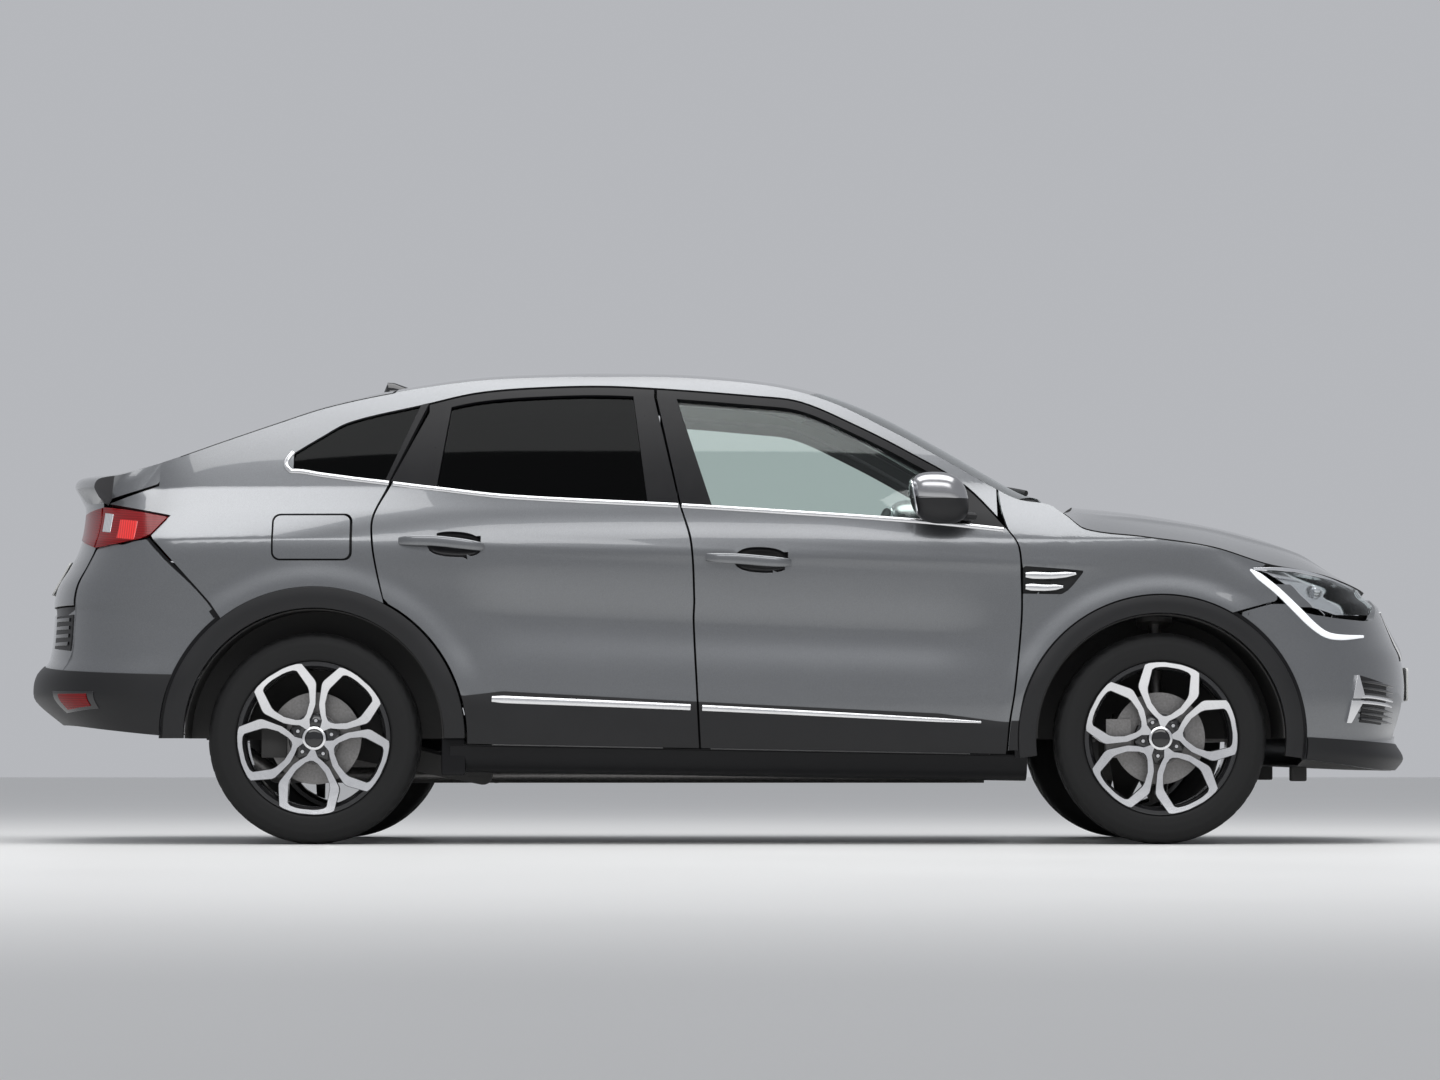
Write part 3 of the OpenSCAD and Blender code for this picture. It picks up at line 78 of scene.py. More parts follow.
TAIL = [
    (195, -2070), (330, -2120), (390, -2190), (462, -2272), (505, -2282), (553, -2271),
    (599, -2236), (747, -2219), (789, -2221), (842, -2207), (901, -2170), (957, -2140),
    (1020, -2124), (1108, -2124), (1150, -2146), (1209, -2147), (1300, -2120),
]
BELT = [
    (-1404, 1222), (-1376, 1209), (-1068, 1169), (-917, 1150), (-686, 1124), (-138, 1095),
    (125, 1079), (651, 1043), (920, 1015),
]
WINDOW_TOP = [
    (-1404, 1250), (-1300, 1315), (-1208, 1366), (-970, 1424), (-782, 1467), (-527, 1486),
    (-313, 1486), (128, 1453), (262, 1434), (440, 1355), (610, 1266), (793, 1154), (920, 1018),
]
FENDER_SPLIT = [(287, 917), (393, 927), (495, 943), (720, 965), (848, 965), (959, 956), (1015, 919)]
MIDDLE_SPLIT = [
    (303, -67), (495, -77), (720, -88), (790, -86), (974, -97), (1096, -132), (1389, -194), (1490, -216),
]
QUARTER_SPLIT = [(778, -1084), (880, -1107), (970, -1121), (1054, -1119), (1156, -1068), (1400, -945)]
DOOR_BOTTOM = [(-830, 320), (920, 287)]
FRONT_AXLE, REAR_AXLE, AXLE_Z, TRACK = 1413.0, -1307.0, 340.0, 783.0
FRONT_ARCH, REAR_ARCH = (460.0, 402.0), (487.0, 418.0)
HALF_W = 907.0
# Both ends round off from this station on, with a power along the car and a rounding of the width
CAP_START, NOSE_POWER, NOSE_ROUND, TAIL_POWER, TAIL_ROUND = 1250.0, 5, 0.4, 6, 0.42
CROWN = 2.3


# Curves and body surfaces


def curve(table, x):
    """Cubic through a table's points whose slope at each point is that of the line between its
    neighbours."""
    p = np.asarray(table, float)
    x = np.asarray(x, float)
    xs, ys = p[:, 0], p[:, 1]
    i = np.clip(np.searchsorted(xs, x, side="right") - 1, 0, len(xs) - 2)
    low = np.clip(np.arange(len(xs)) - 1, 0, None)
    high = np.clip(np.arange(len(xs)) + 1, None, len(xs) - 1)
    slope = (ys[high] - ys[low]) / (xs[high] - xs[low])
    h = xs[i + 1] - xs[i]
    t = np.clip((x - xs[i]) / h, 0, 1)
    rise = ys[i + 1] - ys[i]
    m0, m1 = slope[i] * h, slope[i + 1] * h
    return ys[i] + t * (m0 + t * (3 * rise - 2 * m0 - m1 + t * (m0 + m1 - 2 * rise)))


def join(*parts):
    """Points from their coordinates, which are spread to one shape."""
    return np.stack(np.broadcast_arrays(*parts), -1)


def unit(t):
    """The value held between nought and one."""
    return np.clip(t, 0, 1)


def ease(t):
    """Smooth step: 3 t squared minus 2 t cubed, held between nought and one."""
    t = unit(t)
    return t * t * (3 - 2 * t)


def mix(a, b, t):
    """Straight blend from a to b."""
    return a + (b - a) * t


def flare(x, z):
    """Swelling over the wheel arches and the soft hollow along the doors, added to the half width."""
    out = 0.0
    for axle, (outer, _), reach in ((FRONT_AXLE, FRONT_ARCH, 84), (REAR_AXLE, REAR_ARCH, 96)):
        r = np.hypot(x - axle, z - AXLE_Z)
        out = out + 13 * (1 - ease((r - outer) / reach)) * ease((z - 330) / 200)
    along = ease((x + 900) / 260) * (1 - ease((x - 640) / 300))
    sweep = 700 - 40 * (x / 900)
    hollow = np.exp(-(((z - sweep) / 95.0) ** 2)) * along
    shoulder = np.exp(-(((z - (934 - 0.032 * x)) / 16.0) ** 2)) * ease((x + 1000) / 300)
    return out - 13 * hollow + 2.5 * shoulder * (1 - ease((x - 1050) / 200))


def side(x, z):
    """Half width before the ends round off: full width less the section, cabin and waist insets."""
    cabin = curve(CABIN, x) * unit((z - 980) / 170)
    return HALF_W - curve(SECTION, z) - cabin - 10 * np.maximum(0, 1 - (x / 1350) ** 2)


def nose_share(x, z):
    """Share of the way from the cap's start to the nose."""
    return unit((x - CAP_START) / (curve(NOSE, z) - CAP_START))


def tail_share(x, z):
    """Share of the way from the cap's start to the tail."""
    return unit((x + CAP_START) / (curve(TAIL, z) + CAP_START))


def width(x, z):
    """Half width: the side times two caps, (1 - t to a power) to a power, towards the nose and the tail."""
    nose_cap = (1 - nose_share(x, z) ** NOSE_POWER) ** NOSE_ROUND
    return side(x, z) * nose_cap * (1 - tail_share(x, z) ** TAIL_POWER) ** TAIL_ROUND


def body_width(x, z):
    """Half width with the arches' swelling and the doors' hollow on it."""
    return width(x, z) + flare(x, z)


def skin(x, z, depth=0.0):
    """Point on the left body side at a station and height, pushed in along the surface's normal."""
    x, z = np.broadcast_arrays(np.asarray(x, float), np.asarray(z, float))
    d = np.where(x > 0, -4.0, 4.0)
    by_x = (body_width(x + d, z) - body_width(x, z)) / d
    by_z = (body_width(x, z + 4) - body_width(x, z - 4)) / 8
    n = join(-by_x, np.ones_like(by_x), -by_z)
    n /= np.linalg.norm(n, axis=-1, keepdims=True)
    return join(x, body_width(x, z), z) - np.asarray(depth)[..., None] * n


def upper(x, v, depth=0.0):
    """Point on the roof, screen or bonnet: the height falls from ridge to edge with the share to
    the crown's power."""
    x, v = np.broadcast_arrays(np.asarray(x, float), np.asarray(v, float))
    low = curve(EDGE, x)
    rise = curve(RIDGE, x) - low
    half = width(x, low)
    fall = (curve(RIDGE, x + 4) - curve(RIDGE, x - 4)) / 8
    lean = rise * CROWN * np.abs(v) ** (CROWN - 1) * np.sign(v) / half
    n = join(-fall, lean, np.ones_like(fall))
    n /= np.linalg.norm(n, axis=-1, keepdims=True)
    spot = join(x, v * half, low + rise * (1 - np.abs(v) ** CROWN))
    return spot - np.asarray(depth)[..., None] * n


def round_end(a, z, depth, line, start, power, rounding):
    """Point round the nose or tail: station from the cosine, width from the sine, each to a power."""
    a, z = np.broadcast_arrays(np.radians(np.asarray(a, float)), np.asarray(z, float))
    cosine, sine = np.abs(np.cos(a)), np.sin(a)
    x = mix(start, curve(line, z), cosine ** (2 / power))
    y = side(x, z) * np.abs(sine) ** (2 * rounding) * np.sign(sine)
    return join(x - math.copysign(1, start) * depth * cosine**0.6, y - depth * sine, z)


def nose(a, z, depth=0.0):
    """Point round the nose at an angle from the middle plane."""
    return round_end(a, z, depth, NOSE, CAP_START, NOSE_POWER, NOSE_ROUND)


def tail(a, z, depth=0.0):
    """Point round the tail at an angle from the middle plane."""
    return round_end(a, z, depth, TAIL, -CAP_START, TAIL_POWER, TAIL_ROUND)


def nose_angle(x, z):
    """Angle round the nose at which the surface has this station."""
    return np.degrees(np.arccos(nose_share(x, z) ** (NOSE_POWER / 2)))


def tail_angle(x, z):
    """Angle round the tail at which the surface has this station."""
    return np.degrees(np.arccos(tail_share(x, z) ** (TAIL_POWER / 2)))


def around(axle, r, a):
    """Station and height at a radius and an angle round an axle."""
    return axle + r * np.cos(a), AXLE_Z + r * np.sin(a)


def arc(axle, r, start, end, n):
    """Points of a circle round an axle, from one angle to another."""
    return np.stack(around(axle, r, np.radians(np.linspace(start, end, n))), -1)


def resample(points, n):
    """The same broken line with n points evenly spaced along it."""
    p = np.asarray(points, float)
    run = np.concatenate([[0], np.cumsum(np.linalg.norm(np.diff(p, axis=0), axis=1))])
    at = np.linspace(0, run[-1], n)
    return np.stack([np.interp(at, run, p[:, k]) for k in range(p.shape[1])], -1)


def closed(outline, n):
    """A closed outline with n points evenly spaced round it, the last one on the first."""
    return resample(np.concatenate([outline, outline[:1]]), n)


def smooth_line(points, n):
    """Cubic line through a few points, with n points evenly spaced along it."""
    p = np.asarray(points, float)
    run = np.concatenate([[0], np.cumsum(np.linalg.norm(np.diff(p, axis=0), axis=1))])
    at = np.linspace(0, run[-1], 8 * n)
    return resample(np.stack([curve(np.stack([run, p[:, k]], -1), at) for k in range(p.shape[1])], -1), n)


def patch(bottom, top, front, rear):
    """Coons patch: blends two pairs of facing boundary lines and takes the corners' share away once."""
    n, m = len(bottom), len(front)
    u = np.linspace(0, 1, n)[None, :, None]
    v = column(0, 1, m)[..., None]
    ruled = (1 - v) * bottom[None] + v * top[None] + (1 - u) * front[:, None] + u * rear[:, None]
    low = (1 - v) * ((1 - u) * bottom[0] + u * bottom[-1])
    high = v * ((1 - u) * top[0] + u * top[-1])
    return ruled - low - high


# Meshes


def grid_faces(rows, cols, base=0, keep=None):
    """Index quads of a grid of rows and columns, without the cells that are left open."""
    r, c = np.mgrid[0 : rows - 1, 0 : cols - 1]
    a = base + r * cols + c
    quads = join(a, a + 1, a + cols + 1, a + cols)
    return quads.reshape(-1, 4) if keep is None else quads[keep]


def piece(name, verts, faces, look, body="chassis", slot=None, inner_look=None, outer_count=None, bevel=0.0,
          both=False, doubles=0.02):
    """Object from arrays in millimetres, merged, turned outwards, with its finish, body and record slot."""
    verts = np.asarray(verts, float).reshape(-1, 3) * 0.001
    if both:
        faces = np.concatenate([faces, faces[:, ::-1] + len(verts)])
        verts = np.concatenate([verts, verts * (1, -1, 1)])
    if not isinstance(faces, list):
        used, places = np.unique(faces, return_inverse=True)
        verts, faces = verts[used], places.reshape(faces.shape).tolist()
    mesh = bpy.data.meshes.new(name)
    mesh.from_pydata(verts, [], faces)
    mesh.materials.append(looks()[look])
    if inner_look is not None:
        mesh.materials.append(looks()[inner_look])
        index = np.ones(len(mesh.polygons), np.int32)
        index[:outer_count] = 0
        mesh.polygons.foreach_set("material_index", index)
    work = bmesh.new()
    work.from_mesh(mesh)
    bmesh.ops.remove_doubles(work, verts=work.verts, dist=doubles * 0.001)
    bmesh.ops.recalc_face_normals(work, faces=work.faces)
    work.to_mesh(mesh)
    work.free()
    mesh.polygons.foreach_set("use_smooth", np.ones(len(mesh.polygons), bool))
    obj = bpy.data.objects.new(name, mesh)
    bpy.context.scene.collection.objects.link(obj)
    if bevel:
        edge = obj.modifiers.new("Edge", "BEVEL")
        edge.width = bevel * 0.001
        edge.segments = 2
        edge.limit_method = "ANGLE"
        edge.angle_limit = math.radians(38)
        edge.harden_normals = True
    else:
        mesh.set_sharp_from_angle(angle=math.radians(42))
    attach(obj, body)
    return obj


def sheet(name, grid, look, body="chassis", **more):
    """Object from one grid of points; where rows or columns meet, they are merged."""
    return piece(name, grid, grid_faces(*grid.shape[:2]), look, body, **more)


def slab(name, outer, inner, look, body="chassis", keep=None, **more):
    """Closed sheet between an outer and an inner grid, with walls round its rim and round its openings."""
    rows, cols = outer.shape[:2]
    count = rows * cols
    mask = np.ones((rows - 1, cols - 1), bool) if keep is None else keep
    face = grid_faces(rows, cols, 0, mask)
    back = grid_faces(rows, cols, count, mask)[:, ::-1]
    wide = np.pad(mask, 1)
    walls = []
    r, c = np.nonzero(mask)
    a = r * cols + c
    for (dr, dc), (p, q) in (
        ((-1, 0), (a, a + 1)),
        ((1, 0), (a + cols + 1, a + cols)),
        ((0, -1), (a + cols, a)),
        ((0, 1), (a + 1, a + cols + 1)),
    ):
        rim = ~wide[r + 1 + dr, c + 1 + dc]
        walls.append(join(p, p + count, q + count, q)[rim])
    verts = np.concatenate([outer.reshape(-1, 3), inner.reshape(-1, 3)])
    faces = np.concatenate([face, back] + walls)
    return piece(name, verts, faces, look, body, outer_count=len(face), **more)


def layer(name, surface, a, b, top, depth, look, body="chassis", **more):
    """Slab between two depths of one surface, over a grid of its two parameters."""
    return slab(name, surface(a, b, top), surface(a, b, depth), look, body, **more)


def side_panel(name, xz, depth, look, body="chassis", way=1, rise=0.0, **more):
    """Sheet on the body side from a grid of stations and heights, between a rise above it and a
    depth below."""
    return slab(name, on_side(xz, -rise, way), on_side(xz, depth, way), look, body, **more)


def on_side(xz, depth, way):
    """Points of one body side at stations and heights, pushed in by a depth."""
    return skin(xz[..., 0], xz[..., 1], depth) * (1, way, 1)


def on_nose(xz, depth, way):
    """Points round one side of the nose at stations and heights, pushed in by a depth."""
    return nose(nose_angle(xz[..., 0], xz[..., 1]) * way, xz[..., 1], depth)


def inward(name, face, depth, way, look, body="chassis", **more):
    """Slab on one side of the car, from a face given for the left side inwards by a depth."""
    flip = np.array([1, way, 1])
    return slab(name, face * flip, (face - (0, depth, 0)) * flip, look, body, **more)


def column(start, end, n):
    """Even steps between two values, as one column."""
    return np.linspace(start, end, n)[:, None]


def oval(out, across, n=16, power=1.0):
    """Closed profile: cosine times one half size, and the sine to a power times the other."""
    a = np.linspace(0, 2 * np.pi, n + 1)[:-1]
    return join(out * np.cos(a), across * np.sign(np.sin(a)) * np.abs(np.sin(a)) ** power)


def sweep(name, path, out, profile, look, body="chassis", taper=None, **more):
    """Profile carried along a path: its first axis lies on the out vectors, its second across them
    and the path."""
    path, out = np.asarray(path, float), np.broadcast_to(np.asarray(out, float), np.shape(path))
    ahead = np.gradient(path, axis=0)
    ahead = ahead / np.linalg.norm(ahead, axis=1, keepdims=True)
    across = np.cross(ahead, out)
    across /= np.linalg.norm(across, axis=1, keepdims=True)
    out = np.cross(across, ahead)
    size = np.ones(len(path)) if taper is None else np.asarray(taper, float)
    ring = profile[None] * size[:, None, None]
    verts = path[:, None] + ring[..., :1] * out[:, None] + ring[..., 1:] * across[:, None]
    n, m = verts.shape[:2]
    verts = np.concatenate([verts, verts[:, :1]], 1)
    ends = np.arange(m) + np.array([[0], [(n - 1) * (m + 1)]])
    faces = grid_faces(n, m + 1).tolist() + ends.tolist()
    return piece(name, verts, faces, look, body, **more)


def turned(profile, centre, turns):
    """Points of a profile of (radius, along) pairs turned about an axle's line through a centre,
    along +Y."""
    profile = np.asarray(profile, float)
    a = column(0, 2 * np.pi, turns + 1)
    x = centre[0] + profile[None, :, 0] * np.cos(a)
    z = centre[2] + profile[None, :, 0] * np.sin(a)
    y = centre[1] + np.broadcast_to(profile[None, :, 1], x.shape)
    return join(x, y, z)


def rounded_box(size, centre, power, n):
    """Superellipsoid grid: each axis is a signed power of the sphere's own coordinates."""
    a = np.linspace(-np.pi, np.pi, 2 * n + 1)[None]
    b = column(-np.pi / 2, np.pi / 2, n + 1)

    def bow(t):
        """Signed power that squares off a sine or cosine."""
        return np.sign(t) * np.abs(t) ** (2 / power)

    unit_xyz = join(bow(np.cos(b)) * bow(np.cos(a)), bow(np.cos(b)) * bow(np.sin(a)), bow(np.sin(b)) + 0 * a)
    return np.asarray(centre, float) + unit_xyz * np.asarray(size, float) / 2


# Finishes


class Tone:
    """One value of a material's node graph; arithmetic on it adds Math nodes, and made adds any
    other node."""

    def __init__(self, tree, socket):
        self.tree, self.socket = tree, socket

    def made(self, kind, inputs=None, out=0, **settings):
        """New node of a kind: settings first, then the values or links of its sockets."""
        node = self.tree.nodes.new(kind)
        for key, value in settings.items():
            setattr(node, key, value)
        for key, value in (inputs or {}).items():
            if isinstance(value, Tone):
                self.tree.links.new(value.socket, node.inputs[key])
            else:
                node.inputs[key].default_value = value
        return Tone(self.tree, node.outputs[out])

    def math(self, operation, a, b):
        """Math node on two values."""
        return self.made("ShaderNodeMath", {0: a, 1: b}, operation=operation)

    def __add__(self, other):
        return self.math("ADD", self, other)

    def __mul__(self, other):
        return self.math("MULTIPLY", self, other)

    def __radd__(self, other):
        return self.math("ADD", other, self)

    def __rmul__(self, other):
        return self.math("MULTIPLY", other, self)

    def noise(self, scale, detail, rough=0.5):
        """Clouds over this place."""
        return self.made(
            "ShaderNodeTexNoise",
            {"Vector": self, "Scale": scale, "Detail": detail, "Roughness": rough},
        )

    def cells(self, scale, out=0):
        """Distance or colour of irregular cells over this place."""
        return self.made("ShaderNodeTexVoronoi", {"Vector": self, "Scale": scale}, out=out)

    def between(self, low, high):
        """This value from nought to one, spread between two others."""
        return self.made("ShaderNodeMapRange", {"Value": self, "To Min": low, "To Max": high})

    def colours(self, a, b):
        """Blend of two colours by this value."""
        return self.made("ShaderNodeMix", {"Factor": self, 6: (*a, 1), 7: (*b, 1)}, out=2, data_type="RGBA")

    def bump(self, strength, distance):
        """Normal of a surface that has this value as its height."""
        return self.made("ShaderNodeBump", {"Height": self, "Strength": strength, "Distance": distance})


LOOKS = {}
GLASS_GLOSS = 0.02


def finish(name, colour, roughness, build=None, **fixed):
    """Material with one Principled shader; fixed values are set on its sockets and build links the
    varying ones."""
    if name in LOOKS:
        return LOOKS[name]
    look = bpy.data.materials.new(name)
    look.use_nodes = True
    tree = look.node_tree
    shader = next(n for n in tree.nodes if n.type == "BSDF_PRINCIPLED")
    shader.inputs["Base Color"].default_value = (*colour, 1)
    shader.inputs["Roughness"].default_value = roughness
    for key, value in fixed.items():
        shader.inputs[key.replace("_", " ")].default_value = value
    place = Tone(tree, tree.nodes.new("ShaderNodeTexCoord").outputs["Object"])
    if build:
        for key, value in build(place).items():
            tree.links.new(value.socket, shader.inputs[key.replace("_", " ")])
    look.diffuse_color = (*colour, 1)
    LOOKS[name] = look
    return look


def glazing(name, tint, bend):
    """Pane that passes tinted light straight through and mirrors more at a shallow angle."""
    look = bpy.data.materials.new(name)
    look.use_nodes = True
    tree = look.node_tree
    tree.nodes.clear()
    root = Tone(tree, tree.nodes.new("ShaderNodeTexCoord").outputs["Object"])
    clear = root.made("ShaderNodeBsdfTransparent", {"Color": (*tint, 1)})
    smear = root.noise(6.0, 3.0).between(GLASS_GLOSS, GLASS_GLOSS * 2.2)
    mirror = root.made("ShaderNodeBsdfGlossy", {"Color": (0.95, 0.97, 0.97, 1), "Roughness": smear})
    edge = root.made("ShaderNodeFresnel", {"IOR": bend})
    both = root.made("ShaderNodeMixShader", {0: edge, 1: clear, 2: mirror})
    tree.links.new(both.socket, tree.nodes.new("ShaderNodeOutputMaterial").inputs["Surface"])
    look.diffuse_color = (*tint, 0.4)
    LOOKS[name] = look


def paint(p):
    """Metallic paint: fine flakes in the colour, a soft ripple in the clear coat."""
    flakes = p.cells(1400.0, 1)
    tone = p.made("ShaderNodeSeparateColor", {0: flakes}).between(0.0, 1.0)
    orange_peel = p.noise(260.0, 1.0)
    return {
        "Base_Color": tone.colours(shade_of("paint", 0.82), shade_of("paint", 1.2)),
        "Roughness": p.noise(3.0, 2.0).between(0.27, 0.33),
        "Normal": orange_peel.bump(0.012, 0.0004),
    }


def smeared(scale, detail, low, high):
    """Smooth surface whose roughness drifts between two values."""
    return lambda p: {"Roughness": p.noise(scale, detail).between(low, high)}


def ribbed(scale, low, high):
    """Lens with even ribs of two colours."""
    return lambda p: {
        "Base_Color": p.made("ShaderNodeTexWave", {"Vector": p, "Scale": scale}).colours(low, high)
    }


def grained(low, high):
    """Moulded plastic: cells as grain, clouds between two colours."""

    def build(p):
        grain = p.cells(520.0)
        cloud = p.noise(7.0, 3.0)
        return {
            "Base_Color": cloud.colours(low, high),
            "Roughness": (grain * 0.2 + cloud * 0.25).between(0.42, 0.62),
            "Normal": grain.bump(0.22, 0.0004),
        }

    return build


def rubber(p):
    """Tyre rubber with uneven dust and a fine grain."""
    dust = p.noise(18.0, 5.0, 0.65)
    return {
        "Base_Color": dust.colours((0.004, 0.004, 0.0045), (0.01, 0.01, 0.01)),
        "Roughness": dust.between(0.58, 0.8),
        "Normal": p.noise(900.0, 2.0).bump(0.12, 0.0003),
    }


def cut_metal(low, high):
    """Turned or brushed metal: fine lines from stretched noise."""

    def build(p):
        lines = p.made("ShaderNodeMapping", {"Vector": p, "Scale": (40.0, 900.0, 40.0)}).noise(1.0, 2.0)
        return {
            "Base_Color": p.noise(9.0, 2.0).colours(low, high),
            "Roughness": lines.between(0.16, 0.3),
            "Normal": lines.bump(0.03, 0.0002),
        }

    return build


def cloth(p):
    """Woven cover: two sets of waves multiplied."""
    warp = p.made(
        "ShaderNodeTexWave", {"Vector": p, "Scale": 160.0}, wave_type="BANDS", bands_direction="X"
    )
    weft = p.made(
        "ShaderNodeTexWave", {"Vector": p, "Scale": 160.0}, wave_type="BANDS", bands_direction="Z"
    )
    weave = warp * weft
    return {
        "Base_Color": (weave * 0.6 + p.noise(30.0, 3.0) * 0.4).colours(
            (0.012, 0.012, 0.014), (0.045, 0.045, 0.05)
        ),
        "Roughness": p.noise(60.0, 2.0).between(0.78, 0.92),
        "Normal": weave.bump(0.25, 0.0008),
    }


def iron(p):
    """Cast iron of the brakes and arms, mottled."""
    rings = p.noise(140.0, 3.0)
    return {
        "Base_Color": rings.colours((0.16, 0.15, 0.145), (0.36, 0.355, 0.35)),
        "Roughness": rings.between(0.3, 0.5),
        "Normal": rings.bump(0.1, 0.0003),
    }


def lens_red(p):
    """Red lens with level ribs."""
    ribs = p.made("ShaderNodeTexWave", {"Vector": p, "Scale": 55.0}, wave_type="BANDS", bands_direction="Z")
    return {
        "Base_Color": ribs.colours((0.1, 0.001, 0.002), (0.24, 0.003, 0.005)),
        "Normal": ribs.bump(0.15, 0.001),
    }


def underbody(p):
    """Coating under the car with dust in clouds."""
    dust = p.noise(5.0, 5.0, 0.6)
    return {
        "Base_Color": dust.colours((0.018, 0.018, 0.019), (0.05, 0.048, 0.045)),
        "Roughness": dust.between(0.5, 0.8),
        "Normal": p.noise(300.0, 2.0).bump(0.1, 0.0005),
    }


def shade_of(name, k=1.0):
    """A colour from the settings, made darker or lighter by a share."""
    return tuple(min(1.0, k * c) for c in getattr(bpy.context.scene.vehicle_looks, name))


def looks():
    """All finishes of the car, made once from the settings."""
    if "body_paint" in LOOKS:
        return LOOKS
    finish(
        "body_paint", shade_of("paint"), 0.3, paint, Metallic=0.72, Coat_Weight=1.0,
        Coat_Roughness=0.02, Coat_IOR=1.5,
    )
    finish(
        "black_plastic", shade_of("plastic"), 0.55,
        grained(shade_of("plastic", 0.8), shade_of("plastic", 1.3)), Specular_IOR_Level=0.35,
    )
    finish("gloss_black", (0.006, 0.006, 0.007), 0.06, smeared(20.0, 2.0, 0.04, 0.1), Coat_Weight=0.6)
    finish(
        "satin_black", (0.006, 0.006, 0.007), 0.3, smeared(22.0, 3.0, 0.24, 0.38),
        Specular_IOR_Level=0.2,
    )
    finish(
        "bright_trim", (0.78, 0.78, 0.79), 0.2, cut_metal((0.7, 0.7, 0.71), (0.84, 0.84, 0.85)),
        Metallic=1.0,
    )
    finish(
        "satin_chrome", (0.4, 0.4, 0.41), 0.26, cut_metal((0.36, 0.36, 0.37), (0.46, 0.46, 0.47)),
        Metallic=1.0,
    )
    finish(
        "alloy_face", (0.8, 0.8, 0.81), 0.22, cut_metal((0.72, 0.72, 0.73), (0.88, 0.88, 0.89)),
        Metallic=1.0,
    )
    finish("alloy_black", (0.012, 0.012, 0.013), 0.2, smeared(25.0, 3.0, 0.14, 0.3), Coat_Weight=0.8)
    finish("tyre_rubber", (0.01, 0.01, 0.01), 0.7, rubber, Specular_IOR_Level=0.35)
    finish("brake_iron", (0.3, 0.3, 0.3), 0.4, iron, Metallic=0.9)
    finish("seat_cloth", (0.03, 0.03, 0.033), 0.85, cloth, Sheen_Weight=0.25)
    finish("cabin_plastic", (0.03, 0.03, 0.032), 0.6, grained((0.02, 0.02, 0.022), (0.04, 0.04, 0.043)))
    finish("roof_lining", (0.32, 0.31, 0.3), 0.9, lambda p: {
        "Base_Color": p.noise(300.0, 3.0).colours((0.26, 0.255, 0.25), (0.36, 0.355, 0.345)),
        "Normal": p.noise(600.0, 2.0).bump(0.2, 0.0006)})
    finish("under_coat", (0.03, 0.03, 0.03), 0.6, underbody)
    finish(
        "lens_red", (0.2, 0.002, 0.004), 0.12, lens_red, Specular_IOR_Level=0.2, Coat_Weight=0.1,
        Coat_Roughness=0.02,
    )
    finish(
        "lens_bright", (0.62, 0.012, 0.01), 0.14,
        ribbed(40.0, (0.45, 0.006, 0.006), (0.8, 0.02, 0.014)), Coat_Weight=0.3,
    )
    finish(
        "lens_pale", (0.6, 0.6, 0.62), 0.12, ribbed(60.0, (0.4, 0.4, 0.42), (0.75, 0.75, 0.78)),
        Metallic=0.6, Coat_Weight=1.0,
    )
    finish(
        "lamp_white", (0.9, 0.91, 0.93), 0.15, smeared(40.0, 1.0, 0.1, 0.2), Coat_Weight=1.0,
        Emission_Strength=0.35, Emission_Color=(0.9, 0.95, 1.0, 1.0),
    )
    finish(
        "lamp_silver", (0.75, 0.76, 0.78), 0.22, cut_metal((0.66, 0.67, 0.69), (0.84, 0.85, 0.87)),
        Metallic=1.0,
    )
    finish("plate_blank", (0.72, 0.72, 0.7), 0.4, grained((0.66, 0.66, 0.64), (0.74, 0.74, 0.72)))
    finish("mirror_face", (0.85, 0.86, 0.88), 0.03, smeared(4.0, 2.0, 0.02, 0.05), Metallic=1.0)
    glazing("clear_glass", (0.92, 0.965, 0.945), 1.35)
    glazing("dark_glass", (0.055, 0.06, 0.06), 1.2)
    glazing("lamp_cover", (0.97, 0.98, 0.98), 1.3)
    return LOOKS


# Body panels, each on the surface of its own CAD node

SIDES = (("left", 1.0), ("right", -1.0))
QUARTER_BELT = [
    (-1992, 1104), (-1720, 1150), (-1550, 1190), (-1385, 1211), (-1290, 1198), (-1190, 1184),
    (-1085, 1171), (-1060, 1168),
]
QUARTER_TOP = [(-1826, 1160), (-1700, 1200), (-1550, 1238), (-1385, 1266)]
QUARTER_REAR = [(-1640, 776), (-1690, 832), (-1765, 914), (-1835, 991), (-1775, 1060), (-1992, 1104)]
FLAP = ((-1438.0, -1193.0), (916.0, 1057.0))
GAP, HALF_GAP = 6.0, 3.0
DOOR_ROWS, DOOR_COLS, RAIL_COLS = 52, 80, 76


def inside(points, outline):
    """Even-odd test: a point is inside where a line to its right crosses the outline an odd number
    of times."""
    a, b = outline, np.roll(outline, -1, 0)
    x, z = points[..., 0, None], points[..., 1, None]
    spans = (a[:, 1] > z) != (b[:, 1] > z)
    run = np.where(b[:, 1] == a[:, 1], 1e-9, b[:, 1] - a[:, 1])
    return (spans & (x < a[:, 0] + (z - a[:, 1]) * (b[:, 0] - a[:, 0]) / run)).sum(-1) % 2 == 1


def soften(outline, times=3):
    """Corner cutting: each pass puts points at a quarter and three quarters of every side."""
    p = np.asarray(outline, float)
    for _ in range(times):
        q = np.roll(p, -1, 0)
        p = np.stack([0.75 * p + 0.25 * q, 0.25 * p + 0.75 * q], 1).reshape(-1, 2)
    return p


